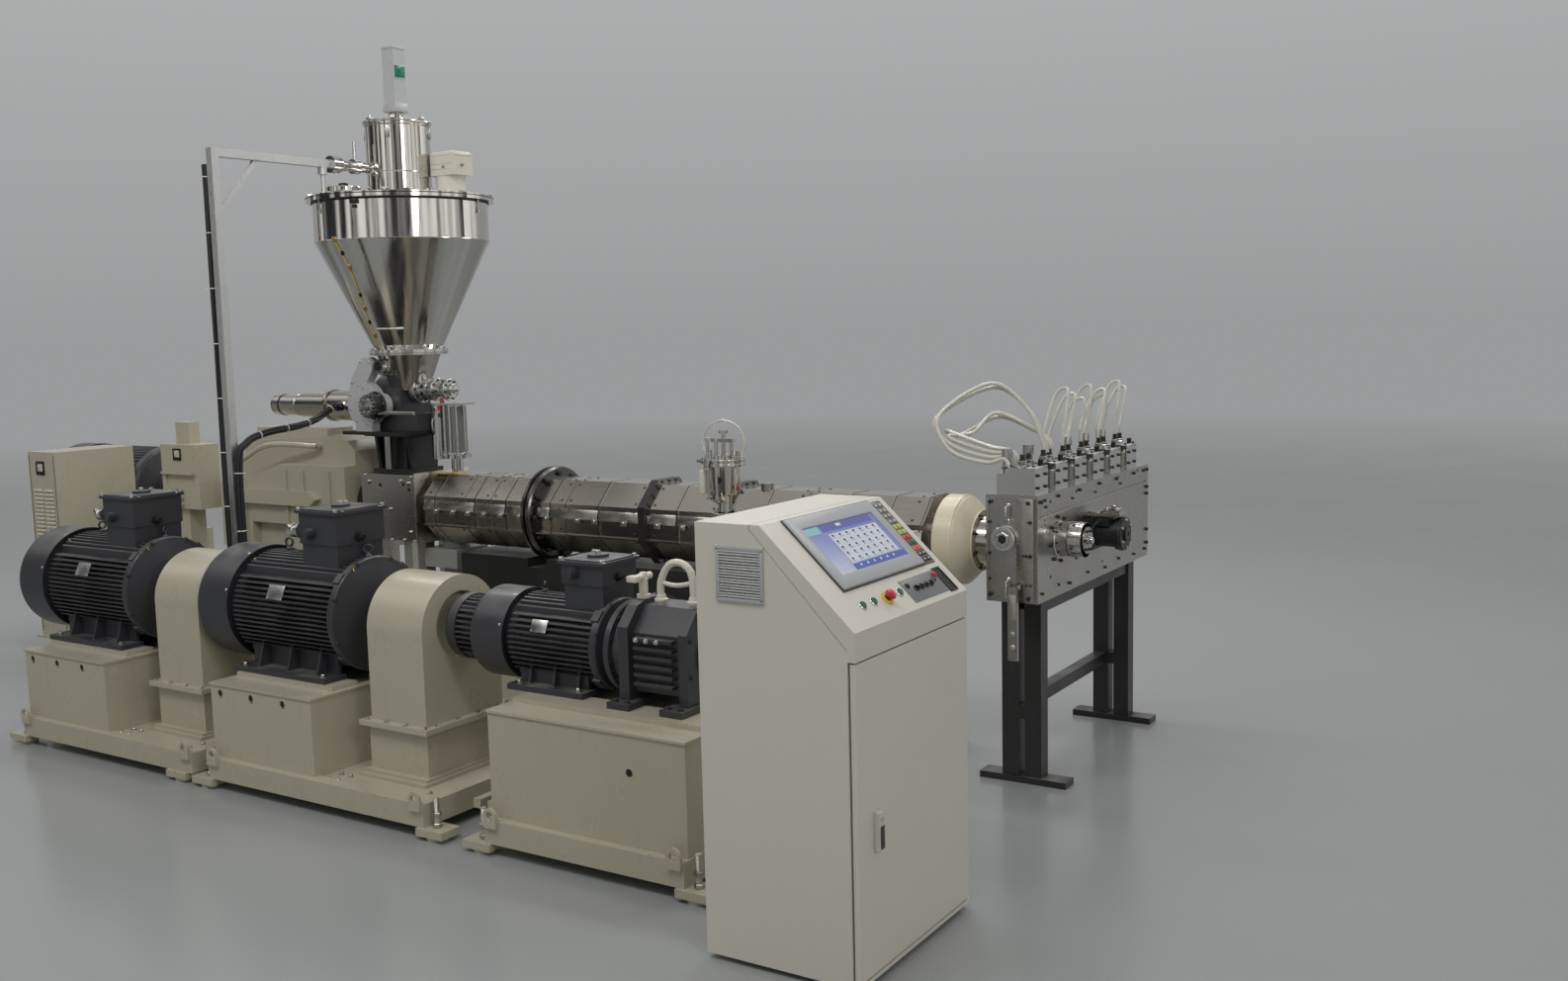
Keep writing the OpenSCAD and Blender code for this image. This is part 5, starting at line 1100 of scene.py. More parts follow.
def stubParts(user):
    # Polished sleeves on the outlet stub, its screws and the set screws of the end disc
    y, z, x = screwY, user["stubZ"], user["front"]
    settle([turnedAt(rings, 96, (x, y, z), toDie) for rings in (
        [[0.0, 0.0785], [0.0, 0.0835], [0.008, 0.0835], [0.012, 0.0788], [0.058, 0.0788], [0.0608, 0.0796],
         [0.0614, 0.0786]],
        [[0.068, 0.0786], [0.069, 0.0812], [0.108, 0.0812], [0.11, 0.0792], [0.127, 0.0792], [0.129, 0.0776]])],
           "stub_sleeves", polished, "tool_steel")
    screws = ringPlaces((x + 0.138, y, z), toDie, 0.047, 6, 25, 0.7)
    screws += [placeAt(Vector((x + 0.088, y, z)) + out * 0.0812, out, 0, 0.6)
               for out in map(aroundX, (-160, -100, 120, 60))]
    screws += ringPlaces((x + 0.0002, y, z), toDie, 0.104, 8, 10, 0.9)
    fitted(socketBolt(), screws, "stub_screws", darkBolts, "tool_steel")
    nose = turnedAt([[0, 0.02], [0.008, 0.02], [0.01, 0.016], [0.022, 0.016], [0.024, 0.013]], 32, (x + 0.138, y, z),
                    toDie)
    settle(nose, "stub_nose", polished, "tool_steel")


def dieMotorParts(user):
    # End flange ring with its screws, round boss, cable gland and bright clamps over the motor
    y, z, x = user["motorY"], screwZ, user["front"]
    settle([turnedAt([[0, 0.0785], [0.003, 0.0812], [0.012, 0.0812], [0.015, 0.0785]], 64, (x + 0.135, y, z), toDie),
            turnedAt([[0, 0.034], [0.008, 0.034], [0.012, 0.03], [0.012, 0.012], [0.009, 0.0115], [0.009, 0.004]], 40,
                     (x + 0.158, y, z), toDie)], "die_motor_cap", blackPaint, "black_steel")
    screws = ringPlaces((x + 0.158, y, z), toDie, 0.064, 6, 0, 0.75)
    screws += [placeAt((x + dx, y + dy, z + 0.112), up, 15, 0.7) for dx in (0.075, 0.125) for dy in (-0.028, 0.018)]
    fitted(socketBolt(), screws, "die_motor_screws", plateSteel, "black_steel")
    clamps = [block((x + 0.002, y - 0.055, z + 0.0985), (x + 0.05, y + 0.042, z + 0.106), 0.002)]
    clamps += [block((x + dx, y - 0.036, z + 0.1125), (x + dx + 0.022, y + 0.026, z + 0.124), 0.003)
               for dx in (0.064, 0.112)]
    clamps.append(turnedAt([[0, 0.011], [0.02, 0.011], [0.022, 0.008]], 6, (x + 0.1, y - 0.005, z + 0.112)))
    settle(clamps, "die_motor_clamps", polished, "tool_steel")
    gland = turnedAt([[0, 0.014], [0.008, 0.014], [0.009, 0.011], [0.022, 0.011]], 16, (x + 0.06, y - 0.07, z + 0.064),
                     toNear)
    lead = [(0.06, -0.09, 0.064), (0.06, -0.14, 0.066), (0.05, -0.17, 0.03), (0.02, -0.18, -0.01),
            (0.001, -0.18, -0.01)]
    settle([gland, tube([(x + dx, y + dy, z + dz) for dx, dy, dz in lead], 0.005, 10)], "die_motor_lead", rubber,
           "black_steel")


def valveParts(user):
    # Between the blocks bright cylinders with rings; on the lids ports, hexagons and the tails of hoses
    bright, black, bolts, hoses = [], [], [], []
    high = user["high"]
    top = high + 0.12
    firstY = user["firstY"]
    for k in range(6):
        y = firstY + user["pitch"] * k
        bright.append(turnedAt([[0, 0.036], [0.012, 0.036], [0.014, 0.029], [0.07, 0.029], [0.072, 0.034],
                                [0.084, 0.034], [0.087, 0.03]], 40, (3.562, y + 0.196, high)))
        black.append(turnedAt([[0.087, 0.017], [0.112, 0.017], [0.116, 0.012], [0.142, 0.012], [0.144, 0.009]], 24,
                              (3.562, y + 0.196, high)))
        bright.append(block((3.4845, y + 0.004, top - 0.012), (3.616, y + 0.146, top + 0.004), 0.002))
        bright += [turnedAt([[0, 0.0175], [0.004, 0.019], [0.014, 0.019], [0.016, 0.0165]], 6,
                            (3.54, y + dy, top + 0.012)) for dy in (0.04, 0.11)]
        bright.append(turnedAt([[0, 0.0225], [0.005, 0.024], [0.016, 0.024], [0.018, 0.0215]], 6,
                               (3.452, y + 0.075, high + 0.104)))
        bolts += [placeAt((x, y + dy, top + 0.004), up, 17 * k, 0.62) for x in (3.497, 3.603) for dy in (0.014, 0.136)]
        bolts += [placeAt((3.6152, y + dy, high + dz), toDie, 0, 0.75) for dz in (0.03, 0.085) for dy in (0.03, 0.12)]
    settle(bright, "valve_fittings", polished, "tool_steel")
    settle(black, "valve_plugs", blackPlastic, "black_steel")
    fitted(socketBolt(), bolts, "valve_bolts", darkBolts, "tool_steel")
    # Wide loops at the near end, short ones that lean over at the rest
    loops = ((0.42, 0.3, -0.1), (0.44, 0.28, -0.12), (0.3, 0.16, -0.06), (0.36, 0.14, -0.1))
    for k, (back, rise, swing) in enumerate(loops):
        y0, y1 = firstY + 0.04 + 0.035 * k, firstY + 0.3 + 0.03 * k
        route = smoothRoute([(3.54, y1, 1.5), (3.53, y1, 1.55), (3.46, y1 - 0.02, 1.5 + rise * 0.7),
                             (3.3, y1 - 0.06, 1.52 + rise), (3.54 - back, (y0 + y1) / 2 + swing, 1.5 + rise * 0.6),
                             (3.2 - 0.02 * k, y0 - 0.03, 1.53 + 0.026 * k), (3.36 - 0.012 * k, y0, 1.475 + 0.022 * k),
                             (3.446, y0 + 0.01, 1.492 + 0.008 * k), (3.47, y0 + 0.012, 1.46)], 7)
        hoses.append(tube(route, 0.0092, 12, smooth=False))
    for k in range(2, 6):
        for j, dy in enumerate((0.04, 0.11)):
            y = firstY + user["pitch"] * k + dy
            reach = 0.2 + 0.03 * ((k + 2 * j) % 3)
            lean = 0.05 + 0.03 * ((2 * k + j) % 3)
            route = smoothRoute([(3.54, y, 1.5), (3.54, y, 1.55), (3.548, y + lean * 0.5, 1.52 + reach * 0.7),
                                 (3.53, y + lean, 1.52 + reach), (3.47, y + lean, 1.52 + reach * 0.86),
                                 (3.44, y + 0.01, 1.56), (3.449, y - dy + 0.075, 1.51)], 6)
            hoses.append(tube(route, 0.0074 if j else 0.0082, 10, smooth=False))
    settle(hoses, "valve_hoses", clearHose, "white_plastic")


for dress in (dieBolts, dieTrim, stubParts, dieMotorParts, valveParts):
    dress(dieUser)
print("die head dressed")

# Vent pot: rings, tie rods with nuts, gauge glass, coloured cocks on their stems and the clear hose over it
ventUser = {
    "x": 2.02, "y": 0.22, "rodAngles": (200, 250, 340, 65, 120),
    "yellow": (yellowPlastic, ((0.028, -0.045, 1.283), (0.055, -0.022, 1.288), (-0.012, -0.05, 1.28))),
    "red": (redPlastic, ((-0.06, -0.03, 1.29), (0.085, -0.012, 1.32))),
    "blue": (bluePlastic, ((0.094, 0.01, 1.3), (-0.03, -0.055, 1.275))),
}


def ventParts(user):
    x, y = user["x"], user["y"]

    def route(*steps):
        return [(x + dx, y + dy, z) for dx, dy, z in steps]

    rings = [turnedAt([[0, 0.062], [0.003, 0.0645], [0.011, 0.0645], [0.014, 0.062]], 40, (x, y, 1.186)),
             turnedAt([[0, 0.044], [0.01, 0.044], [0.014, 0.04]], 40, (x, y, 1.096))]
    rings += [turnedAt([[-0.008, 0.1035], [-0.007, 0.1052], [0.0, 0.1058], [0.003, 0.1052], [0.004, 0.1035]], 72,
                       (x, y, z)) for z in (1.44, 1.462)]
    rings += [block((x - 0.125, y - 0.018, 1.432), (x - 0.098, y + 0.018, 1.468), 0.004),
              turnedAt([[0, 0.011], [0.02, 0.011], [0.022, 0.008], [0.04, 0.008]], 6, (x - 0.122, y, 1.448), toRear)]
    settle(rings, "vent_rings", polished, "polished_steel")
    rods, nuts = [], []
    for degrees in user["rodAngles"]:
        spot = onCircle(x, y, 0.088, degrees)
        rods.append(turnedAt([[1.29, 0.0052], [1.5, 0.0052], [1.503, 0.004]], 12, (*spot, 0)))
        nuts += [placeAt((*spot, z), spin=degrees) for z in (1.4702, 1.4795)]
        nuts.append(placeAt((*spot, 1.4298), (0, 0, -1), degrees))
    settle(rods, "vent_tie_rods", plateSteel, "polished_steel")
    fitted(hexBolt(), nuts, "vent_nuts", plateSteel, "polished_steel")
    screws = ringPlaces((x, y, 1.2002), up, 0.052, 6, 10, 0.75)
    screws += ringPlaces((x, y - 0.001, 1.482), up, 0.043, 4, 45, 0.7)
    fitted(socketBolt(), screws, "vent_screws_small", plateSteel, "polished_steel")
    window = turnedAt([[0, 0.016], [0.002, 0.017], [0.005, 0.017], [0.006, 0.014]], 24, (x + 0.012, y - 0.071, 1.365),
                      (0.15, -0.98, -0.1))
    settle(window, "vent_window", blackAndHoleShade, "polished_steel")
    spots = []
    for colour in ("yellow", "red", "blue"):
        finish, chosen = user[colour]
        spots += chosen
        cocks = []
        for dx, dy, z in chosen:
            lever = block((-0.009, -0.0045, -0.005), (0.013, 0.0045, 0.005), 0.002)
            at = (x + dx, y + dy, z)
            cocks += [moved(lever, Matrix.Translation(at) @ Matrix.Rotation(1200 * dx, 4, "Z")),
                      turnedAt([[0, 0.005], [0.012, 0.005], [0.014, 0.0035]], 12, at)]
        settle(cocks, "vent_cocks_" + colour, finish, "polished_steel")
    settle([tube(route((dx * 0.35, dy * 0.35, z - 0.008), (dx, dy, z - 0.004)), 0.0042, 8, smooth=False)
            for dx, dy, z in spots], "vent_stems", brass, "polished_steel")
    arch = smoothRoute(route((-0.098, -0.01, 1.476), (-0.117, -0.01, 1.54), (-0.092, -0.006, 1.612), (-0.005, 0, 1.652),
                             (0.085, 0.006, 1.62), (0.117, 0.01, 1.545), (0.1, 0.01, 1.476)), 6)
    settle(tube(arch, 0.0062, 12, smooth=False), "vent_hose", clearHose, "white_plastic")
    tubes = [tube(route((dx, -0.112, 1.274), (dx, -0.112, top)), 0.0068, 14, smooth=False)
             for dx, top in ((-0.018, 1.572), (0.03, 1.58))]
    tubes += [turnedAt([[0, 0.0098], [0.018, 0.0098], [0.02, 0.0075]], 6, (x + dx, y - 0.112, z))
              for dx in (-0.018, 0.03) for z in (1.272, 1.45, 1.556)]
    tubes.append(tube(route((-0.018, -0.112, 1.285), (-0.014, -0.07, 1.262), (-0.008, -0.042, 1.25)), 0.0068, 12))
    tubes.append(tube(route((0.03, -0.112, 1.285), (0.026, -0.07, 1.268), (0.02, -0.042, 1.255)), 0.0068, 12))
    settle(tubes, "vent_tubes", plateSteel, "polished_steel")
    gauge = turnedAt([[0, 0.012], [0.003, 0.019], [0.1, 0.021], [0.113, 0.016], [0.118, 0.008]], 28,
                     (x - 0.096, y - 0.045, 1.292))
    stem = tube(route((-0.096, -0.045, 1.4), (-0.096, -0.04, 1.432)), 0.0065, 12, smooth=False)
    settle([gauge, stem], "vent_gauge", offWhite, "polished_steel")


ventParts(ventUser)

# Pump: mouldings and gauge handle of the manifold, cover bolts, feet's bolts and plugs, from the pump's own corner
pumpUser = {"x": 2.38, "cover": [(-0.155, 0.085), (-0.1, 0.16), (0.1, 0.16), (0.155, 0.085), (-0.155, -0.06),
                                 (0.155, -0.06), (0, 0.17)]}


def pumpParts(user):
    def at(dx, dy, dz):
        return user["x"] + dx, rowY + dy, shaftZ + dz

    white = [turnedAt([[0, 0.0165], [0.002, 0.0185], [0.058, 0.0185], [0.06, 0.0165]], 24, at(0.105, -0.045, 0.235)),
             block(at(0.08, -0.125, 0.287), at(0.13, -0.088, 0.313), 0.005),
             turnedAt([[0, 0.016], [0.012, 0.016], [0.015, 0.012]], 6, at(0.105, -0.045, 0.304))]
    white += [turnedAt([[0, 0.026], [0.005, 0.028], [0.012, 0.028], [0.016, 0.021], [0.03, 0.0175]], 24,
                       at(dx, -0.04, 0.205)) for dx in (0.19, 0.35)]
    white.append(tube([at(0.197, -0.04, 0.285), at(0.26, -0.04, 0.262), at(0.346, -0.04, 0.292)], 0.0095, 12))
    settle(white, "pump_mouldings", offWhite, "white_plastic")
    bolts = [placeAt(at(0.41, dy, dz), toDie, 30, 0.8) for dy, dz in user["cover"]]
    bolts += ringPlaces(at(0.44, 0, 0), toDie, 0.065, 6, 0, 0.7)
    bolts += ringPlaces(at(0.0262, 0, 0), toDie, 0.178, 12, 10, 0.7)
    bolts += [placeAt((user["x"] + dx, rowY + side * 0.225, 0.641), spin=20, size=1.2)
              for dx in (0.085, 0.145, 0.345, 0.405) for side in mirror]
    bolts += [placeAt(at(0.105, dy, 0.215), spin=15, size=0.8) for dy in (-0.02, 0.045)]
    bolts += [placeAt(at(dx, -0.154, 0.085), (0, -1, 0.3), 10, 0.8) for dx in (0.17, 0.36)]
    fitted(hexBolt(), bolts, "pump_bolts", darkBolts, "motor_paint")
    plug = turned([[0, 0.012], [0.005, 0.012], [0.006, 0.008], [0.014, 0.008], [0.015, 0.006]], 8)
    fitted(plug, [placeAt(at(dx, -0.1865, 0.075), toNear, 0, 0.9) for dx in (0.17, 0.22, 0.27)], "pump_plugs",
           plateSteel, "motor_paint")


pumpParts(pumpUser)

# Motors: lifting eyes as X, Z and size; glands; bare plates as X, Z, width and the motor's radius; grease nipples
motorUser = {
    "eyes": ((-1.3, 1.0775, 1.15), (-0.745, 1.0775, 1.15), (0.25, 1.0775, 1.15), (0.805, 1.0775, 1.15),
             (1.9, 1.0015, 0.8)),
    "glands": {"left": 1.25, "middle": 1.25, "right": 0.95},
    "plates": ((-1.08, 0.93, 0.11, 0.262), (0.46, 0.93, 0.11, 0.262), (2.03, 0.9, 0.085, 0.186)),
    "nipples": ((-0.675, 0.262), (0.875, 0.262), (-1.37, 0.262), (0.18, 0.262), (2.33, 0.186)),
}


def motorTrim(user):
    loop = [onCircle(0, 0, 0.017, 30 * k) for k in range(12)]
    eye = joined([tube([(x, 0, z + 0.03) for x, z in loop], 0.0052, 12, closed=True),
                  turned([[0, 0.015], [0.004, 0.016], [0.008, 0.013], [0.014, 0.008]], 20)])
    eyes = [placeAt((x, rowY + 0.02, z), spin=70 * x, size=size) for x, z, size in user["eyes"]]
    fitted(eye, eyes, "lifting_eyes", motorPaint, "motor_paint")
    glands = []
    for side, size in user["glands"].items():
        low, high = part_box("terminal_box_" + side)
        glands.append(placeAt((high.x - 0.012, (low.y + high.y) / 2, low.z + 0.085), toDie, 12, size))
    gland = turned([[0, 0.0215], [0.007, 0.0215], [0.008, 0.017], [0.018, 0.0165], [0.02, 0.012], [0.03, 0.0105],
                    [0.03, 0.004], [0.027, 0.004]], 6)
    fitted(gland, glands, "motor_glands", blackPlastic, "motor_paint")
    plates, rivets = [], []
    for x, z, wide, radius in user["plates"]:
        angle = math.atan2(z - shaftZ, radius)
        out = Vector((0, -math.cos(angle), math.sin(angle)))
        turn = Matrix.Translation(Vector((x, rowY, shaftZ)) + out * (radius + 0.0035)) @ Matrix.Rotation(-angle, 4, "X")
        half, high = wide / 2, wide * 0.32
        plates.append(moved(block((-half, -0.0008, -high), (half, 0.0008, high), 0.0005), turn))
        rivets += [turn @ placeAt((sx * (half - 0.006), -0.0008, sz * (high - 0.006)), toNear, 0, 0.45)
                   for sx in mirror for sz in mirror]
    settle(plates, "bare_plates", plateSteel, "motor_paint")
    fitted(panelScrew(), rivets, "plate_rivets", plateSteel, "motor_paint")
    nipples = [placeAt(Vector((x, rowY, shaftZ)) + out * (radius - 0.014), out)
               for x, radius in user["nipples"] for out in map(aroundX, (120, -60))]
    nipple = turned([[0, 0.006], [0.012, 0.006], [0.013, 0.004], [0.02, 0.0045], [0.022, 0.003]], 12)
    fitted(nipple, nipples, "grease_nipples", brass, "motor_paint")


motorTrim(motorUser)

# Barrel: bands and tabs along the lower edges, dark joint lines, ring bolts, clamp bolts and the adaptor's ring
bandUser = {
    "tabs": (-0.08, 0.05, 0.17, 0.29, 0.42, 0.56, 0.76, 0.98, 1.1, 1.3, 1.52, 1.68, 1.8, 2.05, 2.25, 2.5, 2.7, 2.92),
    "bands": ((-0.185, -0.104), (-0.096, 0.211), (0.219, 0.448), (0.456, 0.592), (0.69, 0.776), (0.784, 1.116),
              (1.124, 1.396), (1.45, 1.636), (1.644, 1.896), (1.95, 2.166), (2.174, 2.616), (2.624, 2.856),
              (2.864, 3.046)),
    "lines": (-0.103, 0.212, 0.449, 0.777, 1.117, 1.637, 2.167, 2.617, 2.857), "ringX": (1.446, 1.946),
}


def barrelTrim(user):
    y, z = screwY, screwZ
    settle([moved(block((x0, -0.0012, -0.055), (x1, 0.0012, 0.0), 0.0006),
                  Matrix.Translation((0, y + side * 0.2012, z + 0.058)) @ spinOf(side * 14, "X"))
            for x0, x1 in user["bands"] for side in mirror], "barrel_bands", barrelSteel, "barrel_steel")
    tab = joined([block((-0.02, -0.004, -0.016), (0.02, 0.0005, 0.014), 0.0015),
                  turnedAt([[0, 0.0075], [0.005, 0.0075], [0.007, 0.005]], 12, (0, -0.004, 0), toNear)])
    fitted(tab, [placeAt((x, y + side * 0.2145, z + 0.001), spin=90 + 90 * side) for x in user["tabs"]
                 for side in mirror], "barrel_tabs", plateSteel, "barrel_steel")
    settle([turnedAt([[0, 0.2168], [0, 0.2187], [0.003, 0.2187], [0.003, 0.2168]], 8, (x, y, z), toDie, 22.5)
            for x in user["lines"]], "barrel_joint_lines", blackPlastic, "black_steel")
    bolts = []
    for x in user["ringX"]:
        for k in range(8):
            out = aroundX(45 * k)
            for across in (-0.06, 0.0, 0.06):
                spot = Vector((0, y, z)) + out * 0.2115 + Vector((0, -out.z, out.y)) * across
                bolts += [placeAt(spot + Vector((x + 0.0002, 0, 0)), toDie, 9 * k, 0.6),
                          placeAt(spot + Vector((x - 0.0462, 0, 0)), toRear, 9 * k, 0.6)]
    fitted(hexBolt(), bolts, "ring_bolts", darkBolts, "barrel_steel")
    nuts = ringPlaces((0.685, y, z), toDie, 0.224, 12, 90, 1.15)
    nuts += ringPlaces((0.595, y, z), toRear, 0.224, 12, 90, 1.15)
    fitted(hexBolt(), nuts, "clamp_bolts", darkBolts, "black_steel")
    settle(turnedAt([[0, 0.2105], [0.003, 0.2125], [0.013, 0.2125], [0.016, 0.2105]], 72, (3.172, y, z), toDie),
           "adaptor_ring", cream, "cream_paint")
    screws = ringPlaces((3.2685, y, z), toDie, 0.131, 8, 22, 0.9)
    screws += ringPlaces((3.3498, y, z), toRear, 0.142, 10, 0, 1.1)
    fitted(socketBolt(), screws, "adaptor_screws", darkBolts, "cream_paint")


barrelTrim(bandUser)
print("vent pot, pump, motors and barrel dressed")

# Feeder: side drive with its sprocket, belt case screws, inlet elbow, tube flanges and the glass pot's rods
feederUser = {
    "drive": (-0.534, 1.695), "beltAt": (-0.652, 1.7), "beltR": 0.118, "beltAngles": (105, 150, 195, 240, 285),
    "beltScrews": [(-0.735, 1.83), (-0.655, 1.955), (-0.58, 1.95), (-0.645, 1.80)], "tubeZ": 1.78, "ringR": 0.0625,
    "flanges": ((-0.3605, 0.068, 10, 0.7), (-0.2265, 0.058, 8, 0.7), (-0.1325, 0.053, 8, 0.65)),
    "sleeves": ((-0.4035, 0.0795, 0.043), (-0.36, 0.0625, 0.08), (-0.28, 0.0555, 0.03), (-0.2515, 0.0685, 0.025),
                (-0.2265, 0.044, 0.05), (-0.178, 0.052, 0.0145), (-0.1535, 0.063, 0.021), (-0.1325, 0.036, 0.03)),
    "pot": (-0.108, 1.4, 1.694), "tallRods": (215, 320), "shortRods": (250, 285, 70, 110),
}


def feederDrive(user):
    x, z = user["drive"]
    cover = turnedAt([[0, 0.0845], [0.013, 0.0845], [0.0145, 0.083], [0.0145, 0.0705], [0.068, 0.0705],
                      [0.0712, 0.067], [0.0712, 0.02]], 48, (x, 0.3197, z), toNear)
    settle(cover, "drive_cover", blackPaint, "black_steel")
    at = placeAt((x, 0.2484, z), toNear)
    teeth = [moved(block((0.05, -0.0055, 0), (0.066, 0.0055, 0.012), 0.0015), at @ spinOf(22.5 * k)) for k in range(16)]
    teeth.append(moved(turned([[0, 0.0535], [0.010, 0.0535], [0.012, 0.05], [0.012, 0.03], [0.02, 0.028],
                               [0.022, 0.024], [0.022, 0.0]], 40), at))
    settle(teeth, "drive_sprocket", toolSteel, "tool_steel")
    bolts = ringPlaces((x, 0.2364, z), toNear, 0.041, 6, 0, 0.6)
    bolts += ringPlaces((x, 0.3062, z), toNear, 0.077, 8, 10, 0.55)
    fitted(socketBolt(), bolts, "drive_bolts", plateSteel, "tool_steel")
    spots = [onCircle(*user["beltAt"], user["beltR"], degrees) for degrees in user["beltAngles"]] + user["beltScrews"]
    screws = [placeAt((px, 0.3198, pz), toNear, 30 * k, 1.2) for k, (px, pz) in enumerate(spots)]
    fitted(panelScrew(), screws, "belt_case_screws", plateSteel, "grey_paint")


def feederTube(user):
    y, z, radius = screwY, user["tubeZ"], user["ringR"]
    at = placeAt((-0.505, 0.378, 1.918), (0.1, -0.97, 0.12))
    elbow = moved(turned([[0, 0.052], [0.02, 0.052], [0.024, 0.047], [0.06, 0.043], [0.064, 0.04], [0.064, 0.026],
                          [0.052, 0.024], [0.052, 0.0]], 40), at)
    settle(elbow, "inlet_elbow", polished, "polished_steel")
    nose = moved(turned([[0, 0.0235], [0.006, 0.0235], [0.009, 0.02], [0.009, 0.011], [0.014, 0.01], [0.015, 0.0]], 28),
                 at @ Matrix.Translation((0, 0, 0.0525)))
    settle(nose, "inlet_nose", blackPlastic, "black_steel")
    bolts = []
    for x, flangeR, count, size in user["flanges"]:
        bolts += ringPlaces((x, y, z), toDie, flangeR, count, 12, size)
    fitted(socketBolt(), bolts, "tube_bolts", darkBolts, "polished_steel")
    rings = [turnedAt(collar(thick, r, 0.002), 48, (x, y, z), toDie) for x, r, thick in user["sleeves"]]
    rings += [moved(block((-0.006, -0.004, 0), (0.006, 0.004, 0.012), 0.0015),
                    placeAt(Vector((-0.34, y, z)) + out * radius, out)) for out in map(aroundX, range(0, 360, 45))]
    rings.append(turnedAt([[0, 0.02], [0.016, 0.02], [0.018, 0.014], [0.034, 0.012], [0.036, 0.0]], 24,
                          (-0.1025, y, z), toDie))
    settle(rings, "tube_rings", plateSteel, "polished_steel")
    # Holes round the tube as thin black discs: painted shade of the holes
    holes = [placeAt(Vector((-0.312, y, z)) + out * radius, out) for out in map(aroundX, (200, 245, 290, 335, 20, 160))]
    fitted(turned([[-0.002, 0.0125], [0.0006, 0.0125], [0.0006, 0.0]], 24), holes, "tube_hole_shades", blackAndHoleShade,
           "polished_steel")


def feederPot(user):
    y = screwY
    x, low, top = user["pot"]
    rods, nuts = [], []
    for angles, end in ((user["tallRods"], top + 0.001), (user["shortRods"], top - 0.008)):
        for degrees in angles:
            spot = onCircle(x, y, 0.068, degrees)
            rods.append(tube([(*spot, low - 0.002), (*spot, end)], 0.0052, 12, smooth=False))
            nuts += [placeAt((*spot, z), spin=degrees, size=0.75) for z in (low - 0.0002, top + 0.01)
                     if z < top or degrees in user["tallRods"]]
    rods += [turnedAt([[0, 0.0575], [0.002, 0.0605], [0.01, 0.0605], [0.012, 0.0575]], 48, (x, y, z))
             for z in (low, top - 0.012)]
    rods += [turnedAt(collar(0.009, 0.0515, 0.002), 40, (x - 0.131, y, z)) for z in (1.372, 1.684)]
    settle(rods, "pot_rods", plateSteel, "polished_steel")
    nuts += ringPlaces((x, y, 1.4002), up, 0.077, 8, 22, 0.7)
    fitted(hexBolt(), nuts, "pot_nuts", plateSteel, "polished_steel")
    for name, finish, at in (("pot_tap_red", redPlastic, (x - 0.0505, y - 0.05, top + 0.01)),
                             ("pot_tap_green", buttonGreen, (x - 0.075, y - 0.048, 1.62)),
                             ("pot_mark_red", redPlastic, (x - 0.078, y - 0.046, 1.66))):
        settle(turnedAt([[0, 0.011], [0.003, 0.013], [0.02, 0.013], [0.024, 0.009]], 16, at), name, finish,
               "white_plastic")
    bow = ((0.052, 1.61), (0.06, 1.6), (0.06, 1.55), (0.052, 1.54))
    grip = tube([(x - 0.131, y - dy, z) for dy, z in bow], 0.004, 8)
    settle([grip] + [block((x - 0.145, y - 0.053, z), (x - 0.117, y - 0.047, z + 0.012), 0.001)
                     for z in (1.605, 1.533)], "canister_handle", plateSteel, "polished_steel")
    lead = tube([(-0.2, 0.42, 1.297), (-0.12, 0.43, 1.3), (-0.03, 0.44, 1.302), (0.06, 0.45, 1.297)], 0.0045, 10)
    settle(lead, "yellow_lead", yellowPlastic, "white_plastic")


for dress in (feederDrive, feederTube, feederPot):
    dress(feederUser)

# Feed housing: tapped holes on its front, bolts round its edge and the edge of its end plate
housingUser = {
    "face": 0.3098, "holes": [(-0.64, 1.235), (-0.53, 1.225), (-0.335, 1.235), (-0.29, 1.205)],
    "bolts": [(-0.66, 0.915), (-0.46, 0.9), (-0.35, 0.905), (-0.455, 1.085), (-0.66, 1.28), (-0.27, 1.28),
              (-0.27, 0.9), (-0.36, 1.255)],
}


def housingParts(user):
    face = user["face"]
    # Tapped holes as thin black discs: painted shade of the holes
    hole = turned([[-0.002, 0.0115], [0.0005, 0.0115], [0.0005, 0.0]], 24)
    fitted(hole, [placeAt((x, face, z), toNear) for x, z in user["holes"]], "housing_hole_shades", blackAndHoleShade, "barrel_steel")
    bolts = [placeAt((x, face, z), toNear, 20 * k, 0.85) for k, (x, z) in enumerate(user["bolts"])]
    fitted(socketBolt(), bolts, "housing_bolts", plateSteel, "barrel_steel")
    edge = block((-0.246, 0.306, 0.885), (-0.2385, 0.754, 1.302), 0.001)
    settle(edge, "housing_edge", barrelSteel, "barrel_steel")


housingParts(housingUser)
print("feeder and feed housing dressed")

# Cabinets: louvre hoods in a paler paint as their painted highlight, gauges with dials, black discs as the painted
# shade of the motor boxes' holes, glands at the ends of terminal boxes
cabinetUser = {
    "hoodWide": 0.095, "hoodOut": 0.0125, "hoodHigh": 0.0115, "pitch": 0.026, "firstHood": 0.32, "boxX": (-1.36, 0.19),
    "boxFace": -1.4304, "thirdHole": 2.688,
}


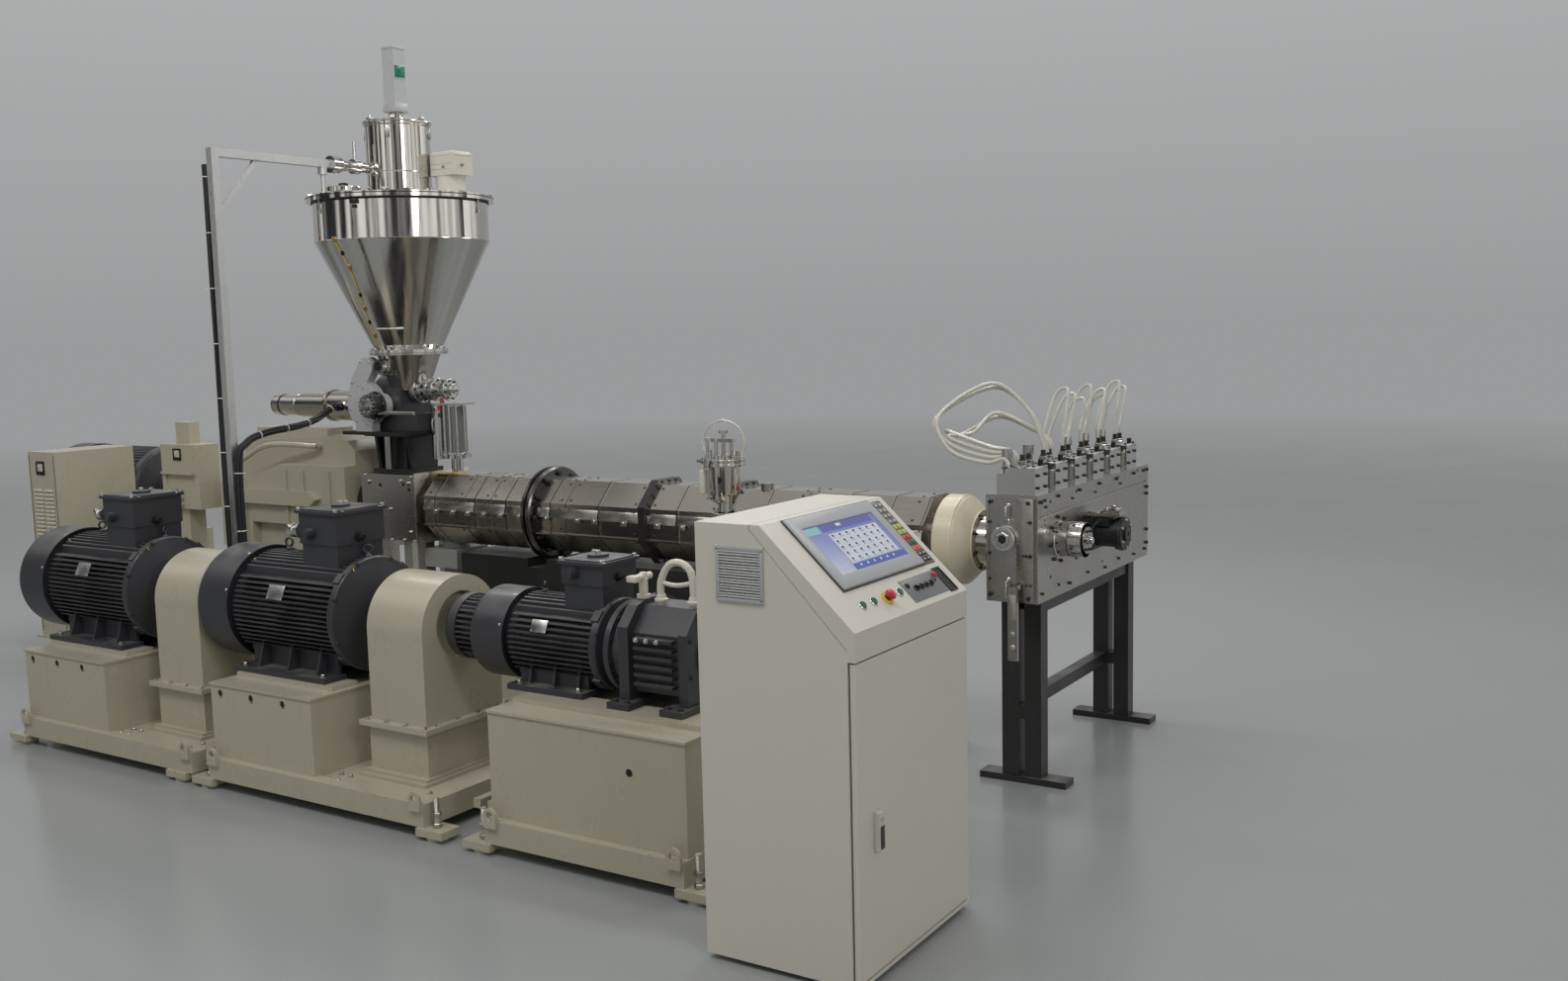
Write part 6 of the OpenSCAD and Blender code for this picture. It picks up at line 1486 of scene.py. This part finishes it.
def cabinetParts(user):
    low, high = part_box("louvred_cabinet")
    x0, face, top = low.x + 0.025, low.y + 0.025, high.z
    hoods = []
    for column in (0.04, 0.16):
        z = user["firstHood"]
        while z < top - 0.26:
            hoods.append(Matrix.Translation((x0 + column, face + 0.001, z + 0.013)))
            z += user["pitch"]
    wide = user["hoodWide"]
    # The hoods' paler paint is their painted highlight
    hood = moved(turned([[0, 0.3], [0.012, 1.0], [wide - 0.012, 1.0], [wide, 0.3]], 24),
                 spinOf(90, "Y") @ Matrix.Diagonal((user["hoodHigh"], user["hoodOut"], 1, 1)))
    fitted(hood, hoods, "louvre_hoods", louvreHighlightPaint, "beige_paint")
    settle([block((x, face - 0.0022, 0.236), (x + 0.0025, face + 0.001, top - 0.02), 0.0004)
            for x in (x0 + 0.012, x0 + 0.284)], "cabinet_seams", blackPlastic, "beige_paint")
    screws = [(x0 + dx, face - 0.0002, z) for dx in (0.027, 0.272) for z in (0.27, 0.62, 0.97, top - 0.05)]
    low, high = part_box("gauge_box")
    bx, by, bz = low.x, low.y + 0.026, high.z - 0.14
    screws += [(bx + dx, by - 0.0002, bz - dz) for dx in (0.02, 0.365) for dz in (0.02, 0.2, 0.4)]
    fitted(panelScrew(), [placeAt(spot, toNear, size=1.2) for spot in screws], "cabinet_screws", plateSteel,
           "beige_paint")
    frames, dials, needles = [], [], []
    for x, y, z, half in ((x0 + 0.135, face, top - 0.105, 0.0425), (bx + 0.175, by, bz - 0.065, 0.039)):
        rim, glass = half * 0.72, half * 0.74
        frames += [block((x + ax, y - 0.008, z + az), (x + cx, y + 0.003, z + cz), 0.0015) for ax, az, cx, cz in (
            (-half, -half, half, -rim), (-half, rim, half, half), (-half, -half, -rim, half), (rim, -half, half, half))]
        dials.append(block((x - glass, y - 0.0035, z - glass), (x + glass, y + 0.003, z + glass), 0.0005))
        needles.append(tube([(x - half * 0.35, y - 0.0042, z - half * 0.3),
                             (x + half * 0.3, y - 0.0042, z + half * 0.35)], 0.0011, 6))
        needles.append(block((x - glass, y - 0.0042, z - glass), (x + glass, y - 0.003, z - half * 0.45), 0.0003))
    settle(frames, "gauge_frames", blackPlastic, "beige_paint")
    settle(dials, "gauge_dials", offWhite, "beige_paint")
    settle(needles, "gauge_needles", blackAndHoleShade, "beige_paint")
    lever = tube([(bx + 0.12, by - 0.026, bz - 0.29), (bx + 0.12, by - 0.05, bz - 0.3),
                  (bx + 0.125, by - 0.055, bz - 0.38)], 0.006, 10)
    taps = [turnedAt([[0, 0.019], [0.012, 0.019], [0.015, 0.014]], 24, (bx + 0.2, by - 0.024, bz - dz), toNear)
            for dz in (0.39, 0.345)]
    nut = turnedAt([[0, 0.017], [0.01, 0.017], [0.012, 0.011]], 6, (bx + 0.2, by - 0.024, bz - 0.3), toNear)
    settle([lever, *taps, nut], "gauge_taps", plateSteel, "beige_paint")
    # Black discs in the motor boxes' holes: painted shade of the holes
    holes = [placeAt((x + dx, user["boxFace"], 0.46), toNear) for x in user["boxX"] for dx in (0.07, 0.29, 0.51)]
    holes.append(placeAt((user["thirdHole"], user["boxFace"], 0.44), toNear))
    fitted(turned([[-0.002, 0.0165], [0.0, 0.0165]], 28), holes, "box_hole_shades", blackAndHoleShade, "beige_paint")
    rim = turned([[-0.001, 0.0158], [0.0012, 0.016], [0.0016, 0.0172], [0.001, 0.0186], [-0.001, 0.0188],
                  [-0.001, 0.0158]], 28)
    fitted(rim, holes, "box_hole_rims", beige, "beige_paint")
    gland = joined([turned([[0, 0.024], [0.008, 0.024], [0.009, 0.019], [0.022, 0.019], [0.024, 0.023], [0.034, 0.023],
                            [0.037, 0.016], [0.045, 0.014]], 28),
                    tube([(0, 0, 0.04), (0, 0, 0.055), (0.01, 0, 0.066)], 0.009, 10)])
    ends = []
    for side in ("left", "middle"):
        low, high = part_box("terminal_box_" + side)
        ends.append(placeAt((low.x + 0.012, low.y + 0.05, low.z + 0.115), toRear, 20, 1.5))
    fitted(gland, ends, "terminal_glands", plateSteel, "motor_paint")


cabinetParts(cabinetUser)

# Console's grille: a pale frame with slats
grilleUser = {"x": plant["consoleX"] + 0.09, "z": 1.235, "wide": 0.165, "slats": 17, "pitch": 0.0091}


def consoleTrim(user):
    x0, z0, near = user["x"], user["z"], plant["consoleY"]
    x1, z1 = x0 + user["wide"], z0 + user["wide"]
    parts = [block((ax, near - 0.0062, az), (bx, near - 0.0008, bz), 0.0015) for ax, az, bx, bz in (
        (x0 - 0.008, z0 - 0.008, x1 + 0.008, z0 + 0.006), (x0 - 0.008, z1 - 0.006, x1 + 0.008, z1 + 0.008),
        (x0 - 0.008, z0, x0 + 0.004, z1), (x1 - 0.004, z0, x1 + 0.008, z1))]
    parts += [moved(block((x0 + 0.003, -0.004, -0.0022), (x1 - 0.003, 0.002, 0.0022), 0.001),
                    Matrix.Translation((0, near - 0.0035, z0 + 0.0095 + k * user["pitch"])) @ spinOf(-28, "X"))
              for k in range(user["slats"])]
    settle(parts, "vent_grille", grilleGrey, "console_paint")


consoleTrim(grilleUser)
print("cabinets, boxes and console grille dressed")

# Hopper: lead with beads down the cone, and a small handle low on it
leadUser = {
    "azimuth": -91, "top": (0.5035, 2.65), "foot": (0.1975, 2.03), "handleR": 0.262, "handleZ": 2.142,
    "beads": (("cone_clips", brass, (0, 2, 5, 7), 1.15), ("cone_tags", blackAndHoleShade, (1, 4, 6), 0.9)),
}


def coneLead(user):
    (topR, topZ), (footR, footZ) = user["top"], user["foot"]
    spots = []
    for t in [k / 8 for k in range(9)]:
        radius = topR * (1 - t) + footR * t + 0.004
        degrees = user["azimuth"] + 3.5 * math.sin(5 * t)
        spots.append((*onCircle(hopperX, screwY, radius, degrees), topZ * (1 - t) + footZ * t))
    settle(tube(spots, 0.0028, 8), "cone_lead", yellowPlastic, "polished_steel")
    down = Vector(spots[-1]) - Vector(spots[0])
    for name, finish, chosen, size in user["beads"]:
        bead = turned([[-0.014, 0.004], [-0.011, 0.008], [0.011, 0.008], [0.014, 0.004]], 12)
        fitted(bead, [placeAt(spots[k], down, 30 * k, size) for k in chosen], name, finish, "polished_steel")
    radius, z = user["handleR"], user["handleZ"]
    bar = [(*onCircle(hopperX, screwY, radius, degrees), z) for degrees in (-84, -66, -48)]
    ends = [tube([(*onCircle(hopperX, screwY, r, degrees), z) for r in (radius, radius - 0.022)], 0.0065, 10,
                 smooth=False) for degrees in (-84, -48)]
    settle([tube(bar, 0.0065, 10), *ends], "cone_handle", plateSteel, "polished_steel")


coneLead(leadUser)

# Gear motor of the feeder: sleeves as X, radius and length, then dark bands and the end cap
gearUser = {
    "y": 0.52, "z": 1.68, "bands": (-1.6, -1.39, -1.15),
    "sleeves": ((-1.655, 0.066, 0.19), (-1.458, 0.0705, 0.018), (-1.44, 0.066, 0.2), (-1.236, 0.0705, 0.018),
                (-1.218, 0.066, 0.13), (-1.085, 0.074, 0.02)),
}


def gearMotorParts(user):
    y, z = user["y"], user["z"]
    settle([turnedAt(collar(length, radius, 0.003), 48, (x, y, z), toDie) for x, radius, length in user["sleeves"]],
           "gear_motor_sleeves", plateSteel, "polished_steel")
    bands = [turnedAt([[0, 0.0672], [0, 0.069], [0.009, 0.069], [0.009, 0.0672]], 48, (x, y, z), toDie)
             for x in user["bands"]]
    cap = turnedAt([[0, 0.06], [0.004, 0.064], [0.016, 0.064], [0.016, 0.05]], 48, (-1.6705, y, z), toDie)
    settle([*bands, cap], "gear_motor_bands", blackPlastic, "black_steel")


gearMotorParts(gearUser)

# Terminal boxes: screws of their lids; skids: bolts on the deck
deckUser = {"x": (-1.36, 0.19), "dx": (0.76, 0.82, 1.32), "y": (-1.4, -1.33)}


def boxTrim(user):
    screws = []
    for side in motorSides:
        low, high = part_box("terminal_box_" + side)
        screws += [placeAt((x, y, high.z - 0.018), size=1.1) for x in (low.x + 0.014, high.x - 0.014)
                   for y in (low.y + 0.036, high.y - 0.016)]
        screws.append(placeAt(((low.x + high.x) / 2, (low.y + high.y) / 2 + 0.01, high.z), size=1.3))
    fitted(socketBolt(), screws, "terminal_screws", plateSteel, "motor_paint")
    bolts = [placeAt((x + dx, y, plant["deckZ"]), spin=70 * (x + dx)) for x in user["x"] for dx in user["dx"]
             for y in user["y"]]
    fitted(hexBolt(), bolts, "deck_bolts", zinc, "beige_paint")


boxTrim(deckUser)
print("hopper lead, gear motor and boxes dressed")

# Camera at the photograph's place, floor and soft lamps
cameraUser = {
    "at": (6.0, -5.52, 2.1), "sensor": 36, "focal": 1440.5 / 1586, "far": 200,
    "right": (0.84606, 0.53257, -0.02353), "up": (-0.04096, 0.10896, 0.99321),
    "forward": (-0.53151, 0.83935, -0.11400),
}
stageUser = {
    "floor": srgb(150, 153, 153), "floorRough": 0.2, "floorSize": 160, "fadeFrom": 9, "fadeTo": 26,
    "low": (0.40, 0.41, 0.415), "high": (0.52, 0.53, 0.535), "top": (0.52, 0.51, 0.49), "skyStrength": 0.8,
    "away": (-0.535, 0.845), "bandDark": (0.035, 0.035, 0.037), "bandBright": (1.25, 1.24, 1.2),
}
# Lamps: place, aim, size and power
lampUser = {
    "overheadFront": ((1.0, -4.4, 6.5), (0, -0.6, 0.8), (9, 0.9), 210),
    "overheadMiddle": ((-0.5, 2.1, 7.0), (-0.3, 0, 0.5), (10, 0.6), 170),
    "overheadBack": ((0.5, 5.2, 6.5), (0, 0.6, 0.9), (9, 0.7), 150),
    "sideRight": ((10.0, -4.5, 5.0), (2.5, -0.6, 0.8), (1.6, 3), 90),
}


def addToScene(name, data, place):
    thing = bpy.data.objects.new(name, data)
    bpy.context.scene.collection.objects.link(thing)
    thing.matrix_world = place
    return thing


def setCamera(user):
    data = bpy.data.cameras.new("camera")
    data.sensor_width = user["sensor"]
    data.lens = user["sensor"] * user["focal"]
    data.clip_end = user["far"]
    axes = Matrix((user["right"], user["up"], -Vector(user["forward"]))).transposed().to_4x4()
    bpy.context.scene.camera = addToScene("camera", data, Matrix.Translation(user["at"]) @ axes)


def setFloor(user):
    clearSelection()
    bpy.ops.mesh.primitive_plane_add(size=user["floorSize"], location=(0, 0, 0))
    floor = bpy.context.object
    floor.name = "floor"
    finish, tree, shader = newFinish("floorPaint")
    where = objectPlace(tree)
    tone = blendOf(tree, noiseOf(tree, where, 0.35, 2), darker(user["floor"], 0.9), user["floor"])
    rough = user["floorRough"]
    fill(tree, shader, Base_Color=tone,
         Roughness=ranged(tree, noiseOf(tree, where, 0.8, 2), 0.2, 0.8, rough - 0.03, rough + 0.05))
    # Far from the plant the floor fades into the backdrop's own grey
    x, y = axisOf(tree, "X"), axisOf(tree, "Y")
    far = mathOf(tree, "SQRT", mathOf(tree, "ADD", product(tree, x, x), product(tree, y, y)), 0.0)
    fade = ranged(tree, far, user["fadeFrom"], user["fadeTo"])
    glow = addNode(tree, "ShaderNodeEmission", Color=user["low"], Strength=user["skyStrength"])
    mix = addNode(tree, "ShaderNodeMixShader", Fac=mathOf(tree, "POWER", fade, 1.5))
    feed(tree, mix.inputs[1], shader.outputs["BSDF"])
    feed(tree, mix.inputs[2], glow.outputs["Emission"])
    feed(tree, tree.nodes["Material Output"].inputs["Surface"], mix.outputs["Shader"])
    floor.data.materials.append(finish)


def setWorld(user):
    world = bpy.data.worlds.new("hall")
    bpy.context.scene.world = world
    world.use_nodes = True
    tree = world.node_tree
    place = addNode(tree, "ShaderNodeTexCoord").outputs["Generated"]
    x, y, rise = (axisOf(tree, axis, output="Generated") for axis in "XYZ")
    wall = blendOf(tree, ranged(tree, rise, 0.0, 0.22), user["low"], user["high"])
    plain = blendOf(tree, ranged(tree, rise, 0.3, 0.75), wall, user["top"])
    # Columns and windows of the hall, on the sides that the camera does not look at
    stretched = addNode(tree, "ShaderNodeMapping", Vector=place, Scale=(2.6, 2.6, 0.22)).outputs["Vector"]
    bands = ranged(tree, noiseOf(tree, stretched, 2.2, 1, 0.4), 0.44, 0.58)
    hall = blendOf(tree, bands, user["bandDark"], user["bandBright"])
    awayX, awayY = user["away"]
    aside = ranged(tree, mathOf(tree, "ADD", product(tree, x, awayX), product(tree, y, awayY)), 0.72, 0.5)
    for low, high in ((0.85, 0.6), (-0.05, 0.05)):
        aside = product(tree, aside, ranged(tree, rise, low, high))
    fill(tree, tree.nodes["Background"], Color=blendOf(tree, aside, plain, hall), Strength=user["skyStrength"])


def setLamps(user):
    for name, (at, aim, size, power) in user.items():
        data = bpy.data.lights.new(name, "AREA")
        data.shape = "RECTANGLE"
        data.size, data.size_y = size
        data.energy = power
        turn = (Vector(aim) - Vector(at)).to_track_quat("-Z", "Y").to_matrix().to_4x4()
        addToScene(name, data, Matrix.Translation(at) @ turn)


setCamera(cameraUser)
setFloor(stageUser)
setWorld(stageUser)
setLamps(lampUser)
bpy.context.scene.view_settings.view_transform = "Standard"
print("camera, floor and lamps set")
